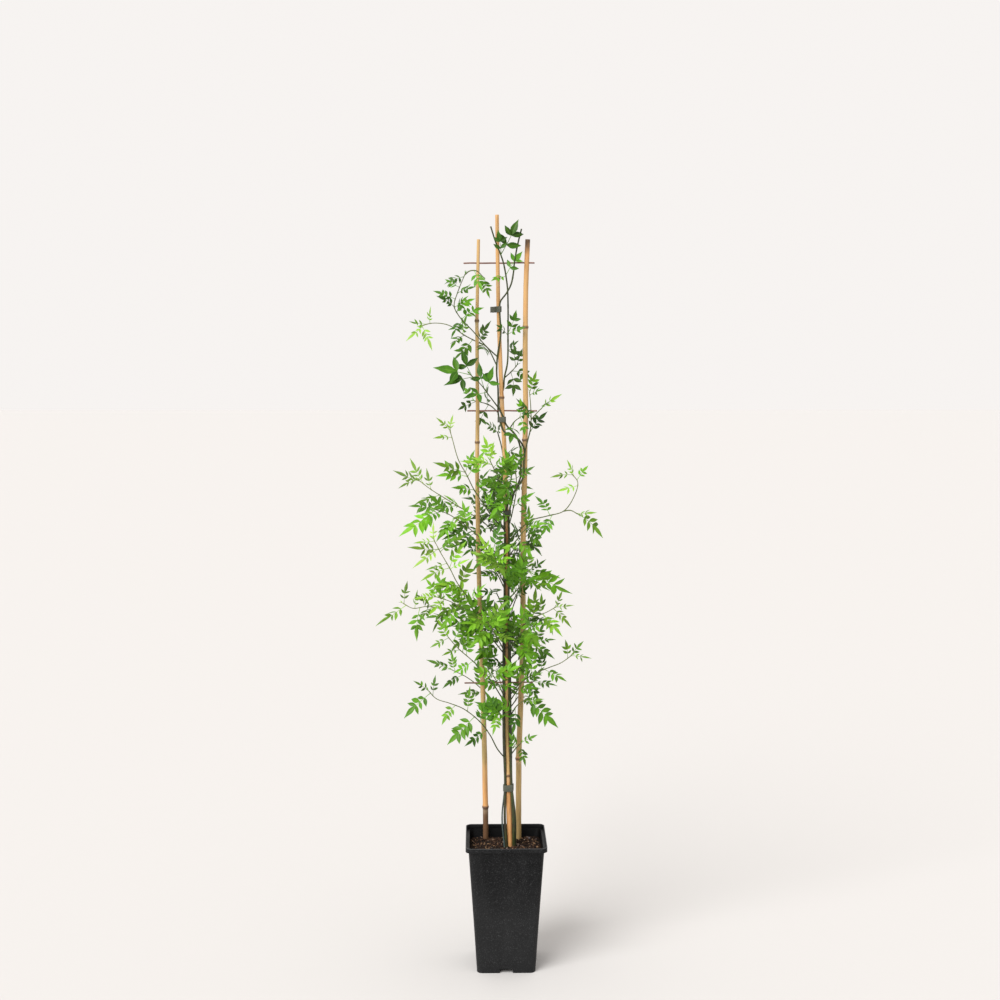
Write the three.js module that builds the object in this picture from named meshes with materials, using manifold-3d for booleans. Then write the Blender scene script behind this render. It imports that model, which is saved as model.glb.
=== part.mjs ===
// Potted common jasmine: a twining plant tied to three bamboo canes in a square nursery pot.
// Millimetres, +Z up, origin at the centre of the pot's base.
import * as THREE from 'three';
import { mergeVertices } from 'three/addons/utils/BufferGeometryUtils.js';
import Module from 'manifold-3d';

const wasm = await Module();
wasm.setup();

// Clearance between neighbouring pieces, and the extra that keeps flat-sided bars apart
const gap = 0.35;
const barSlack = 0.2;

// Pot
const potHeight = 230;
const rimHalf = 71;
const rimHeight = 8;
const rimSlope = 0.2;
const bodyTopHalf = 66;
const baseHalf = 51.5;
const potWall = 1.6;
const potCorner = 10;
const cornerSteps = 4;
const channelWidth = 23;
const channelHeight = 7;
const centreFootRadius = 16;
const drainRadius = 4;
const drainDistance = 30;

// Soil
const soilLevel = 208;

// Canes, as centre points from inside the soil to the top, with the radius at each end
const caneSides = 8;
const canePaths = {
  left: {
    points: [
      [-35, 53, 140], [-35, 52.5, 207], [-37, 48, 354], [-40, 42, 480], [-45, 37, 620],
      [-48, 33, 730], [-50, 29, 870], [-49, 28, 980], [-50, 28, 1141], [-47, 28, 1279],
    ],
    radii: [5.3, 2.9],
    color: 0xb98a4a,
  },
  middle: {
    points: [
      [11, -2, 40], [8, 3, 208], [5, 8, 300], [2, 14, 456], [2, 20, 593], [2, 23, 735],
      [1, 26, 818], [-2, 27, 914], [-5, 28, 970], [-8, 28, 1030], [-13, 28, 1175], [-15, 28, 1321],
    ],
    radii: [5.4, 3.4],
    color: 0xd79a50,
  },
  right: {
    points: [
      [24, 53, 140], [24, 52.5, 210], [24, 46, 359], [27, 42, 449], [31, 37, 570], [31, 33, 752],
      [33, 30, 850], [35, 28, 979], [34, 28, 1100], [35, 28, 1197], [38, 28, 1279],
    ],
    radii: [5.4, 4.4],
    color: 0xa98a4c,
  },
};

// Thin cross sticks, threaded through holes drilled in the canes
const stickRadius = 1.5;
const stickSides = 6;
const sticks = [
  { name: 'cross_stick_top', from: [-73, 28, 1238], to: [50, 28, 1239] },
  { name: 'cross_stick_middle', from: [-67, 28, 983], to: [55, 28, 983] },
  { name: 'cross_stick_bottom', from: [-73, 42.5, 497], to: [49, 38.7, 499] },
];

// Ties that hold the stems to the middle cane
const tieHeight = 9;
const tieThickness = 1;
const tieSlack = 0.65;
const tieSides = 10;
const ties = [
  { name: 'tie_top', level: 1159, stems: ['main_stem_2'], flag: 11 },
  { name: 'tie_upper', level: 968, stems: ['main_stem_1', 'main_stem_2'] },
  { name: 'tie_centre', level: 804, stems: ['main_stem_1', 'main_stem_2', 'main_stem_5'] },
  { name: 'tie_lower', level: 690, stems: ['main_stem_1', 'main_stem_2', 'main_stem_5'] },
  {
    name: 'tie_bottom',
    level: 316,
    stems: ['main_stem_1', 'main_stem_2', 'main_stem_3', 'main_stem_4', 'main_stem_5'],
  },
];

// Leaves: a stalk with leaflets in opposite pairs, drawn as a thin star of five points.
// Each outline point is [share of the length, share of the half width].
const leafThickness = 1.4;
const leafHalfWidth = 0.27;
const widestLeaf = 19;
const leafCentre = 0.48;
const leafStalk = 5;
const shortestOldLeaf = 52;
const shortestYoungLeaf = 34;
const leafSide = [[0.22, 0.06], [0.3, 0.95], [0.44, 0.34], [0.62, 1], [0.7, 0.34]];

// Stems and shoots
const stemSides = 5;
const shootSides = 4;
const stationsPerSpan = 2;

const v = (p) => new THREE.Vector3(p[0], p[1], p[2]);
const degrees = THREE.MathUtils.degToRad;

// A closed solid from a three.js geometry
function solid(geometry) {
  const shape = geometry.clone();
  shape.deleteAttribute('normal');
  shape.deleteAttribute('uv');
  const merged = mergeVertices(shape, 1e-4);
  return new wasm.Manifold(new wasm.Mesh({
    numProp: 3,
    vertProperties: new Float32Array(merged.attributes.position.array),
    triVerts: new Uint32Array(merged.index.array),
  }));
}

// A three.js geometry from a closed solid
function geometryOf(body) {
  const mesh = body.getMesh();
  const geometry = new THREE.BufferGeometry();
  geometry.setAttribute('position', new THREE.BufferAttribute(mesh.vertProperties, 3));
  geometry.setIndex(new THREE.BufferAttribute(mesh.triVerts, 1));
  geometry.computeVertexNormals();
  return geometry;
}

// Skin over rings of points, each ring counter-clockwise when seen from the last ring
function loft(rings) {
  const sides = rings[0].length;
  const positions = rings.flat().flatMap((p) => [p.x, p.y, p.z]);
  const faces = [];
  for (let i = 1; i < sides - 1; i++) {
    faces.push(0, i + 1, i);
    const top = (rings.length - 1) * sides;
    faces.push(top, top + i, top + i + 1);
  }
  for (let r = 0; r < rings.length - 1; r++) {
    for (let i = 0; i < sides; i++) {
      const a = r * sides + i;
      const b = r * sides + ((i + 1) % sides);
      faces.push(a, b, b + sides, a, b + sides, a + sides);
    }
  }
  const geometry = new THREE.BufferGeometry();
  geometry.setAttribute('position', new THREE.Float32BufferAttribute(positions, 3));
  geometry.setIndex(faces);
  return geometry;
}

// Points along a smooth curve through the given ones, so many for each span between them
function smoothLine(points, perSpan) {
  return new THREE.CatmullRomCurve3(points).getPoints((points.length - 1) * perSpan);
}

// The point at a share of a line's length
function pointAlong(line, share) {
  const lengths = line.slice(1).map((p, i) => p.distanceTo(line[i]));
  let left = share * lengths.reduce((sum, length) => sum + length, 0);
  let k = 0;
  while (k < lengths.length - 1 && left > lengths[k]) {
    left -= lengths[k];
    k += 1;
  }
  return line[k].clone().lerp(line[k + 1], Math.min(1, left / lengths[k]));
}

// The point at which a rising line reaches a height
function pointAtHeight(line, z) {
  const k = Math.max(1, line.findIndex((p) => p.z > z));
  const [below, above] = [line[k - 1], line[k]];
  return below.clone().lerp(above, (z - below.z) / (above.z - below.z));
}

// Round bar along a line of points. The radius follows from the share of the points passed.
function bar(line, radiusAt, sides) {
  const last = line.length - 1;
  const normal = new THREE.Vector3(0.31, 0.95, 0.05);
  const rings = line.map((centre, k) => {
    const tangent = line[Math.min(k + 1, last)].clone().sub(line[Math.max(k - 1, 0)]).normalize();
    normal.addScaledVector(tangent, -normal.dot(tangent)).normalize();
    const binormal = tangent.cross(normal);
    return Array.from({ length: sides }, (_, i) => {
      const turn = (i / sides) * 2 * Math.PI;
      return centre.clone()
        .addScaledVector(normal, radiusAt(k / last) * Math.cos(turn))
        .addScaledVector(binormal, radiusAt(k / last) * Math.sin(turn));
    });
  });
  return solid(loft(rings));
}

// Square ring with rounded corners, at one height
function squareRing(half, z, corner) {
  const ring = [];
  for (let quarter = 0; quarter < 4; quarter++) {
    for (let i = 0; i <= cornerSteps; i++) {
      const turn = (quarter + i / cornerSteps) * (Math.PI / 2);
      const sx = quarter === 0 || quarter === 3 ? 1 : -1;
      const sy = quarter < 2 ? 1 : -1;
      ring.push(new THREE.Vector3(
        sx * (half - corner) + corner * Math.cos(turn),
        sy * (half - corner) + corner * Math.sin(turn),
        z,
      ));
    }
  }
  return ring;
}

function box(width, depth, low, high) {
  const shape = new THREE.BoxGeometry(width, depth, high - low);
  return solid(shape.translate(0, 0, (low + high) / 2));
}

function disc(radius, low, high, x, y, sides) {
  const shape = new THREE.CylinderGeometry(radius, radius, high - low, sides);
  return solid(shape.rotateX(Math.PI / 2).translate(x, y, (low + high) / 2));
}

const bodyHalfAt = (z) => THREE.MathUtils.lerp(baseHalf, bodyTopHalf, z / (potHeight - rimHeight));

// The four channels under the pot, which stop at the foot in the middle
function channels(width, low, high, footRadius) {
  const length = 2 * rimHalf;
  const cross = box(width, length, low, high).add(box(length, width, low, high));
  return cross.subtract(disc(footRadius, low - 1, high + 1, 0, 0, 24));
}

// The space inside the pot, up to its mouth, with a shoulder behind the rim
function potInside(inset, low) {
  const shoulder = potHeight - rimHeight + potWall;
  const inner = solid(loft([
    squareRing(bodyHalfAt(low) - inset, low, potCorner - inset),
    squareRing(bodyHalfAt(shoulder) - inset, shoulder, potCorner - inset),
    squareRing(rimHalf - inset, shoulder + rimSlope, potCorner - inset),
    squareRing(rimHalf - inset, potHeight + 1, potCorner - inset),
  ]));
  const ridge = channels(
    channelWidth + 2 * inset, low - 1, channelHeight + inset, centreFootRadius - inset,
  );
  return inner.subtract(ridge);
}

function makePot() {
  const flange = potHeight - rimHeight;
  const outside = solid(loft([
    squareRing(baseHalf, 0, potCorner),
    squareRing(bodyTopHalf, flange, potCorner),
    squareRing(rimHalf, flange + rimSlope, potCorner),
    squareRing(rimHalf, potHeight, potCorner),
  ]));
  let pot = outside
    .subtract(channels(channelWidth, -1, channelHeight, centreFootRadius))
    .subtract(potInside(potWall, potWall));
  for (let k = 0; k < 4; k++) {
    const turn = k * (Math.PI / 2);
    const x = drainDistance * Math.cos(turn);
    const y = drainDistance * Math.sin(turn);
    pot = pot.subtract(disc(drainRadius, 0, channelHeight + 3, x, y, 10));
  }
  return pot;
}

// A cane's centre and radius at a height
function makeCane(spec) {
  const line = smoothLine(spec.points.map(v), 1);
  const low = line[0].z;
  const high = line.at(-1).z;
  const radius = (z) => THREE.MathUtils.mapLinear(z, low, high, spec.radii[0], spec.radii[1]);
  const last = line.length - 1;
  return {
    radius,
    centre: (z) => pointAtHeight(line, z),
    solidWith: (extra) => bar(line, (t) => radius(line[Math.round(t * last)].z) + extra, caneSides),
  };
}

const canes = Object.fromEntries(
  Object.entries(canePaths).map(([name, spec]) => [name, makeCane(spec)]),
);

// A point beside a cane, at a height and an angle from +X, for a stem that touches the cane
function beside(caneName, z, angle, stemRadius, extra = 0) {
  const cane = canes[caneName];
  const reach = cane.radius(z) + stemRadius + gap + barSlack + extra;
  const turn = degrees(angle);
  return cane.centre(z).add(new THREE.Vector3(reach * Math.cos(turn), reach * Math.sin(turn), 0));
}

// Main stems. A point is [cane, height, angle, extra distance] or a free [x, y, z].
// A leaf is [height on the stem, tip].
const mainStems = {
  main_stem_1: {
    radii: [2.2, 1.3],
    route: [
      ['middle', 160, 320], ['middle', 210, 322], ['middle', 262, 325, 1], ['middle', 316, 318],
      ['middle', 450, 308], ['middle', 593, 300], ['middle', 690, 300], ['middle', 760, 310],
      ['middle', 804, 320], [14, 18, 838], ['right', 868, 205, 0.6], ['right', 890, 202, 0.6],
      ['right', 914, 195, 0.6],
      [18, 21, 940], ['middle', 958, 330, 0.5], ['middle', 973, 275, 0.5], ['middle', 988, 205],
      ['middle', 1003, 130], ['middle', 1020, 55], ['middle', 1040, 0], [3, 26, 1066],
      [4, 24, 1120], [4, 22, 1165], [3, 21, 1195], [0, 20, 1218], [-4, 19, 1238], [-9, 18, 1253],
      [-18, 17, 1275], [-26, 17, 1300],
    ],
    leaves: [
      [1252, [22, 12, 1312]], [1250, [-14, 4, 1294]], [1217, [29, 18, 1258]],
      [1215, [-19, 6, 1208]], [1118, [18, 10, 1158]], [1116, [35, 12, 1128]],
      [1114, [-16, 8, 1130]], [1086, [16, 12, 1098]],
    ],
  },
  main_stem_2: {
    radii: [2, 1.4],
    route: [
      ['middle', 160, 215], ['middle', 210, 215], ['middle', 262, 208, 1.5], ['middle', 316, 222],
      ['middle', 450, 226], ['middle', 593, 232], ['middle', 690, 232], ['middle', 760, 240],
      ['middle', 804, 250], [12, 11, 838], ['right', 868, 252, 0.6], ['right', 892, 255, 0.6],
      ['right', 916, 258, 0.6],
      [20, 14, 936], ['middle', 947, 280, 1], ['middle', 964, 215], ['middle', 980, 165, 1.8],
      ['middle', 1000, 125, 5], ['middle', 1022, 120, 5], ['middle', 1048, 175, 1],
      ['middle', 1070, 200], ['middle', 1088, 240], ['middle', 1104, 275], ['middle', 1122, 300],
      ['middle', 1142, 292], ['middle', 1160, 292], ['middle', 1172, 310], [1, 18, 1186],
      [9, 16, 1201], [13, 16, 1220], [15, 16, 1240], [21, 16, 1272], [27, 16, 1296],
    ],
    leaves: [],
  },
  main_stem_3: {
    radii: [1.3, 1],
    route: [
      ['middle', 160, 180], ['middle', 210, 184, 3], ['middle', 262, 184, 6],
      ['middle', 316, 178], ['middle', 400, 178, 1], ['middle', 500, 176, 0.5],
      ['middle', 593, 178, 1], ['middle', 640, 190, 3], [-16, 12, 664],
    ],
    leaves: [[662, [-50, 0, 668]], [661, [-24, -34, 676]], [540, [-44, -12, 540]]],
  },
  main_stem_4: {
    radii: [1.4, 1],
    route: [
      ['middle', 160, 0], ['middle', 210, 5, 2], ['middle', 262, 2, 4], ['middle', 316, 358],
      ['middle', 400, 4, 0.5], ['middle', 500, 0, 0.5], ['middle', 593, 8, 1],
      ['middle', 630, 0, 3], [20, 12, 660],
    ],
    leaves: [[658, [44, -10, 682]], [656, [24, -32, 690]], [520, [46, 8, 536]]],
  },
  main_stem_5: {
    radii: [1.9, 1.1],
    route: [
      ['middle', 160, 92], ['middle', 210, 95], ['middle', 316, 92], ['middle', 450, 95],
      ['middle', 593, 98], ['middle', 690, 96], ['middle', 804, 100], ['middle', 860, 112],
      ['middle', 912, 118, 2], [-14, 44, 946],
    ],
    leaves: [[944, [-42, 66, 964]], [942, [-2, 78, 966]], [900, [26, 62, 918]]],
  },
};

// Side shoots. Each limb starts on a stem at a height, or on the limb before it at a share of its
// length. A leaf is [share of the limb's length, tip].
const shoots = {
  shoot_left_1: [
    {
      on: 'main_stem_2',
      at: 1077,
      route: [[-34, 14, 1095], [-56, 8, 1120], [-81, 4, 1147], [-89, 0, 1164], [-82, -4, 1189],
        [-70, -6, 1218]],
      leaves: [[0.5, [-87, -14, 1117]], [0.52, [-51, 16, 1154]], [0.66, [-110, -16, 1174]],
        [0.66, [-53, 20, 1176]], [0.8, [-57, -20, 1193]], [0.86, [-100, 16, 1207]],
        [0.97, [-106, -22, 1198]], [0.6, [-64, -24, 1178]], [0.74, [-117, 4, 1186]]],
    },
    {
      at: 0.99,
      route: [[-62, -4, 1223], [-50, -2, 1223], [-39, 0, 1213]],
      leaves: [[0.5, [-51, -16, 1197]], [1, [-27, 4, 1176]]],
    },
  ],
  shoot_left_2: [{
    on: 'main_stem_2',
    at: 1062,
    route: [[-33, 38, 1094], [-52, 42, 1104], [-71, 40, 1114], [-100, 34, 1132], [-128, 28, 1135],
      [-147, 24, 1130]],
    leaves: [[0.3, [-55, 18, 1087]], [0.32, [-34, 52, 1122]], [0.5, [-86, 22, 1099]],
      [0.52, [-69, 56, 1138]], [0.9, [-129, 14, 1154]], [0.93, [-165, 40, 1139]],
      [0.97, [-173, 16, 1102]], [1, [-128, 34, 1087]]],
  }],
  shoot_left_3: [{
    on: 'main_stem_1',
    at: 986,
    route: [[-28, 4, 1009], [-44, -4, 1030], [-62, -10, 1047]],
    leaves: [[0.5, [-69, -16, 1006]], [0.55, [-22, -12, 1059]], [0.6, [-46, 16, 1068]],
      [0.9, [-98, -34, 1032]], [0.95, [-77, -2, 1092]], [0.98, [-126, -22, 1058]]],
  }],
  shoot_left_4: [{
    on: 'main_stem_2',
    at: 980,
    route: [[-27, 38, 992], [-45, 46, 998], [-55, 50, 1000]],
    leaves: [[0.45, [-47, 44, 954]], [0.5, [-30, 60, 1012]], [0.9, [-78, 46, 986]],
      [1, [-73, 58, 1021]]],
  }],
  shoot_left_5: [{
    on: 'main_stem_2',
    at: 774,
    route: [[-24, 4, 800], [-40, -2, 824], [-56, -8, 849], [-68, -14, 874], [-82, -18, 900],
      [-92, -22, 935], [-97, -24, 953]],
    leaves: [[0.25, [-24, -22, 840]], [0.43, [-29, 4, 878]], [0.45, [-96, -34, 853]],
      [0.62, [-127, -30, 896]], [0.62, [-55, 2, 913]], [0.93, [-119, -34, 938]],
      [0.97, [-92, -12, 969]], [1, [-121, -30, 974]]],
  }],
  shoot_left_6: [{
    on: 'main_stem_5',
    at: 742,
    route: [[-31, 40, 779], [-50, 46, 793], [-97, 46, 822], [-133, 44, 845], [-155, 44, 862]],
    leaves: [[0.3, [-48, 66, 824]], [0.5, [-84, 24, 792]], [0.55, [-102, 66, 825]],
      [0.7, [-131, 32, 814]], [0.85, [-140, 58, 882]], [0.93, [-169, 38, 900]],
      [0.97, [-197, 50, 886]], [1, [-189, 36, 845]]],
  }],
  shoot_left_7: [{
    on: 'main_stem_2',
    at: 716,
    route: [[-31, -6, 751], [-71, -16, 787], [-100, -22, 807], [-124, -26, 816]],
    leaves: [[0.35, [-63, -2, 738]], [0.5, [-76, -34, 755]], [0.6, [-76, -6, 830]],
      [0.72, [-109, -30, 770]], [0.85, [-134, -34, 843]], [0.97, [-170, -14, 819]],
      [1, [-193, -34, 779]]],
  }],
  shoot_left_8: [{
    on: 'main_stem_3',
    at: 582,
    route: [[-38, -10, 620], [-61, -24, 654], [-85, -40, 691], [-96, -46, 714], [-112, -52, 743],
      [-124, -54, 766]],
    leaves: [[0.3, [-76, -36, 616]], [0.45, [-35, -44, 687]], [0.6, [-114, -56, 689]],
      [0.75, [-64, -58, 732]], [0.8, [-138, -40, 711]], [0.9, [-84, -58, 775]],
      [0.93, [-160, -66, 717]], [0.98, [-124, -48, 794]], [1, [-160, -58, 760]]],
  }],
  shoot_left_9: [{
    on: 'main_stem_5',
    at: 525,
    route: [[-22, 42, 545], [-42, 56, 562], [-81, 58, 602], [-114, 56, 628], [-140, 56, 633],
      [-165, 56, 630], [-183, 58, 639]],
    leaves: [[0.4, [-88, 50, 559]], [0.5, [-77, 72, 651]], [0.66, [-129, 46, 587]],
      [0.7, [-115, 66, 665]], [0.86, [-157, 46, 571]], [0.9, [-156, 74, 662]],
      [0.97, [-233, 60, 594]], [1, [-174, 52, 680]]],
  }],
  shoot_left_10: [{
    on: 'main_stem_3',
    at: 557,
    route: [[-28, -14, 592], [-59, -20, 629], [-94, -26, 654], [-120, -30, 664]],
    leaves: [[0.45, [-94, -14, 608]], [0.5, [-66, -38, 677]], [0.75, [-121, -36, 630]],
      [0.8, [-110, -44, 699]], [0.98, [-140, -24, 696]], [1, [-162, -36, 660]]],
  }],
  shoot_left_11: [{
    on: 'main_stem_3',
    at: 473,
    route: [[-31, 2, 517], [-59, -4, 547], [-84, -8, 570], [-101, -10, 590]],
    leaves: [[0.4, [-35, -26, 570]], [0.6, [-88, 8, 524]], [0.7, [-63, -24, 605]],
      [0.8, [-111, -30, 560]], [0.97, [-120, -10, 624]], [1, [-133, -14, 571]]],
  }],
  shoot_left_12: [{
    on: 'main_stem_5',
    at: 430,
    route: [[-20, 42, 456], [-38, 58, 478], [-67, 62, 502], [-96, 62, 517]],
    leaves: [[0.5, [-86, 60, 471]], [0.55, [-49, 82, 536]], [0.85, [-113, 56, 483]],
      [0.95, [-96, 76, 549]], [1, [-143, 66, 534]]],
  }],
  shoot_left_13: [{
    on: 'main_stem_2',
    at: 370,
    route: [[-15, -8, 390], [-28, -16, 417], [-46, -24, 443], [-74, -30, 467], [-98, -34, 478],
      [-121, -38, 487], [-135, -40, 502]],
    leaves: [[0.35, [-61, -16, 405]], [0.45, [-35, -40, 485]], [0.52, [-103, -36, 404]],
      [0.6, [-63, -22, 499]], [0.72, [-108, -44, 447]], [0.94, [-122, -32, 527]],
      [0.97, [-177, -48, 454]], [1, [-161, -42, 519]]],
  }],
  shoot_right_1: [
    {
      on: 'main_stem_2',
      at: 908,
      route: [[38, 17, 930], [43, 15, 952], [44, 14, 969], [43, 12, 995], [41, 10, 1016]],
      leaves: [[0.35, [65, 22, 972]], [0.6, [19, 2, 1002]], [0.95, [60, -8, 1018]],
        [1, [53, 4, 1054]]],
    },
    {
      at: 0.56,
      route: [[54, 10, 980], [63, 8, 989]],
      leaves: [[0.9, [72, -14, 996]], [1, [98, 2, 1013]]],
    },
  ],
  shoot_right_2: [{
    on: 'main_stem_1',
    at: 1040,
    route: [[11, 38, 1052], [20, 44, 1062]],
    leaves: [[0.5, [12, 50, 1018]], [0.6, [40, 60, 1040]], [0.9, [16, 38, 1094]],
      [1, [29, 54, 1088]]],
  }],
  shoot_right_3: [{
    on: 'main_stem_1',
    at: 952,
    route: [[16, 8, 966], [25, 0, 973]],
    leaves: [[0.5, [9, -8, 940]], [0.9, [43, -14, 979]], [0.95, [24, -6, 1003]],
      [1, [31, -10, 944]]],
  }],
  shoot_right_4: [
    {
      on: 'main_stem_1',
      at: 756,
      route: [[25, 4, 778], [45, -2, 794], [72, -8, 802], [100, -12, 811], [117, -14, 835],
        [124, -12, 861], [114, -10, 875]],
      leaves: [[0.28, [31, -18, 817]], [0.3, [51, 6, 758]], [0.48, [60, 8, 823]],
        [0.5, [67, -20, 782]], [0.88, [84, -24, 845]], [0.93, [137, 0, 881]],
        [0.97, [106, -18, 896]], [1, [76, -4, 868]]],
    },
    {
      at: 0.61,
      route: [[112, -13, 812], [124, -16, 806]],
      leaves: [[0.9, [157, -26, 809]], [1, [168, -18, 763]]],
    },
  ],
  shoot_right_5: [{
    on: 'main_stem_1',
    at: 678,
    route: [[22, 14, 692], [40, 18, 702]],
    leaves: [[0.6, [26, -8, 732]], [0.7, [62, 0, 668]], [0.95, [72, 32, 722]],
      [1, [120, 30, 661]]],
  }],
  shoot_right_6: [{
    on: 'main_stem_4',
    at: 581,
    route: [[25, 2, 603], [47, -4, 622], [72, -10, 634], [87, -12, 643]],
    leaves: [[0.4, [37, -12, 576]], [0.45, [39, 10, 655]], [0.7, [61, -16, 663]],
      [0.75, [80, -16, 596]], [0.95, [114, -20, 606]], [0.97, [99, -8, 672]],
      [1, [118, -14, 645]]],
  }],
  shoot_right_7: [{
    on: 'main_stem_5',
    at: 535,
    route: [[14, 42, 546], [30, 54, 556], [55, 56, 569]],
    leaves: [[0.5, [44, 62, 524]], [0.55, [34, 66, 594]], [0.85, [89, 50, 537]],
      [0.95, [71, 64, 604]], [1, [92, 54, 572]]],
  }],
  shoot_right_8: [{
    on: 'main_stem_4',
    at: 483,
    route: [[28, 0, 508], [56, -8, 527], [77, -14, 537], [96, -16, 545], [115, -18, 559]],
    leaves: [[0.3, [31, -14, 544]], [0.35, [51, -8, 488]], [0.55, [61, -22, 567]],
      [0.6, [98, -18, 516]], [0.93, [102, -26, 589]], [0.97, [136, -12, 583]],
      [1, [150, -20, 552]]],
  }],
  shoot_right_9: [{
    on: 'main_stem_5',
    at: 448,
    route: [[16, 42, 462], [32, 58, 480], [51, 60, 496]],
    leaves: [[0.4, [23, 66, 515]], [0.6, [46, 60, 452]], [0.9, [72, 66, 521]],
      [1, [95, 60, 486]]],
  }],
  shoot_right_10: [{
    on: 'main_stem_4',
    at: 446,
    route: [[21, -4, 468], [37, -8, 479]],
    leaves: [[0.4, [11, -14, 422]], [0.9, [61, -14, 486]], [1, [92, -14, 428]]],
  }],
  shoot_right_11: [{
    on: 'main_stem_4',
    at: 376,
    route: [[20, 6, 390], [27, 4, 398]],
    leaves: [[0.5, [8, -10, 411]], [0.8, [29, 0, 374]], [1, [45, 2, 407]]],
  }],
  shoot_front_1: [{
    on: 'main_stem_2',
    at: 818,
    route: [[0, 0, 838], [-12, -14, 866], [-28, -34, 900]],
    leaves: [[0.5, [-48, -40, 865]], [0.55, [10, -34, 860]], [0.85, [6, -42, 905]],
      [0.9, [-62, -40, 905]], [0.97, [-40, -20, 943]], [1, [-20, -56, 935]]],
  }],
  shoot_front_2: [{
    on: 'main_stem_1',
    at: 782,
    route: [[12, -4, 812], [18, -14, 852], [16, -22, 885]],
    leaves: [[0.4, [42, -18, 838]], [0.5, [-4, -32, 828]], [0.85, [42, -20, 884]],
      [0.9, [-4, -24, 922]], [1, [26, -30, 928]]],
  }],
  shoot_front_3: [{
    on: 'main_stem_1',
    at: 742,
    route: [[18, -12, 760], [28, -30, 776], [36, -42, 786]],
    leaves: [[0.5, [40, -26, 736]], [0.6, [8, -44, 790]], [0.9, [62, -40, 750]],
      [0.95, [38, -58, 822]], [1, [70, -60, 794]]],
  }],
  shoot_front_4: [{
    on: 'main_stem_2',
    at: 680,
    route: [[-10, -20, 700], [-16, -44, 722], [-20, -62, 738]],
    leaves: [[0.4, [-46, -48, 702]], [0.5, [18, -50, 710]], [0.6, [-30, -30, 752]],
      [0.9, [14, -80, 736]], [0.95, [-54, -80, 742]], [1, [-14, -94, 762]]],
  }],
  shoot_front_5: [{
    on: 'main_stem_1',
    at: 652,
    route: [[16, -14, 670], [28, -36, 688]],
    leaves: [[0.55, [4, -46, 692]], [0.95, [28, -70, 716]],
      [1, [60, -60, 704]]],
  }],
  shoot_front_6: [{
    on: 'main_stem_2',
    at: 560,
    route: [[-14, -22, 588], [-26, -48, 612], [-34, -64, 628]],
    leaves: [[0.45, [-66, -46, 596]], [0.5, [8, -50, 592]], [0.6, [-44, -34, 644]],
      [0.9, [2, -82, 634]], [0.95, [-74, -84, 638]], [1, [-36, -102, 652]]],
  }],
  shoot_front_7: [{
    on: 'main_stem_1',
    at: 560,
    route: [[20, -20, 590], [34, -44, 612]],
    leaves: [[0.5, [62, -40, 590]], [0.55, [6, -56, 616]], [0.7, [24, -30, 654]],
      [0.95, [36, -82, 636]], [1, [70, -66, 622]]],
  }],
  shoot_front_8: [{
    on: 'main_stem_2',
    at: 480,
    route: [[-12, -20, 505], [-22, -44, 528]],
    leaves: [[0.5, [-54, -36, 512]], [0.55, [4, -40, 506]], [0.9, [4, -66, 546]],
      [0.95, [-60, -64, 544]], [1, [-24, -84, 558]]],
  }],
  shoot_front_9: [{
    on: 'main_stem_1',
    at: 470,
    route: [[20, -18, 498], [30, -38, 520]],
    leaves: [[0.5, [56, -32, 502]], [0.6, [6, -44, 532]], [0.95, [30, -72, 550]],
      [1, [64, -56, 536]]],
  }],
  shoot_front_10: [{
    on: 'main_stem_2',
    at: 432,
    route: [[-8, -14, 450], [-14, -30, 458]],
    leaves: [[0.6, [-46, -36, 470]], [0.9, [6, -54, 456]], [1, [-24, -52, 424]]],
  }],
  shoot_back_1: [{
    on: 'main_stem_5',
    at: 822,
    route: [[8, 58, 850], [14, 82, 874]],
    leaves: [[0.5, [42, 70, 842]], [0.55, [-26, 74, 862]], [0.7, [14, 60, 908]],
      [0.95, [-12, 116, 898]], [1, [46, 108, 892]]],
  }],
  shoot_back_2: [{
    on: 'main_stem_5',
    at: 772,
    route: [[-20, 62, 796], [-38, 86, 812]],
    leaves: [[0.5, [-66, 78, 786]], [0.55, [-4, 96, 800]], [0.7, [-40, 70, 846]],
      [0.95, [-36, 124, 834]], [1, [-80, 108, 822]]],
  }],
  shoot_back_3: [{
    on: 'main_stem_5',
    at: 720,
    route: [[22, 56, 744], [44, 78, 762]],
    leaves: [[0.5, [66, 58, 738]], [0.6, [16, 92, 764]], [0.75, [38, 62, 796]],
      [0.95, [46, 118, 782]], [1, [84, 102, 772]]],
  }],
  shoot_back_4: [{
    on: 'main_stem_5',
    at: 662,
    route: [[-14, 60, 690], [-30, 88, 708]],
    leaves: [[0.5, [-60, 78, 688]], [0.55, [12, 94, 700]], [0.95, [-20, 130, 730]],
      [1, [-64, 120, 720]]],
  }],
  shoot_back_5: [{
    on: 'main_stem_5',
    at: 626,
    route: [[18, 58, 650], [30, 84, 668]],
    leaves: [[0.6, [-4, 92, 668]], [0.95, [22, 126, 686]],
      [1, [64, 110, 678]]],
  }],
  shoot_back_6: [{
    on: 'main_stem_5',
    at: 572,
    route: [[-22, 56, 598], [-42, 82, 614]],
    leaves: [[0.5, [-70, 78, 584]], [0.6, [-10, 92, 604]], [0.95, [-42, 122, 634]],
      [1, [-84, 104, 624]]],
  }],
  shoot_back_7: [{
    on: 'main_stem_5',
    at: 548,
    route: [[20, 62, 582], [42, 84, 598]],
    leaves: [[0.5, [66, 78, 580]], [0.6, [12, 96, 592]], [0.95, [44, 122, 614]],
      [1, [84, 102, 602]]],
  }],
  shoot_back_8: [{
    on: 'main_stem_5',
    at: 466,
    route: [[-8, 54, 494], [-16, 80, 510]],
    leaves: [[0.5, [-48, 76, 498]], [0.6, [22, 82, 504]], [0.95, [4, 116, 526]],
      [1, [-44, 106, 522]]],
  }],
};

const shootRadii = [1.1, 0.6];
const shootEnd = 0.99;

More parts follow.
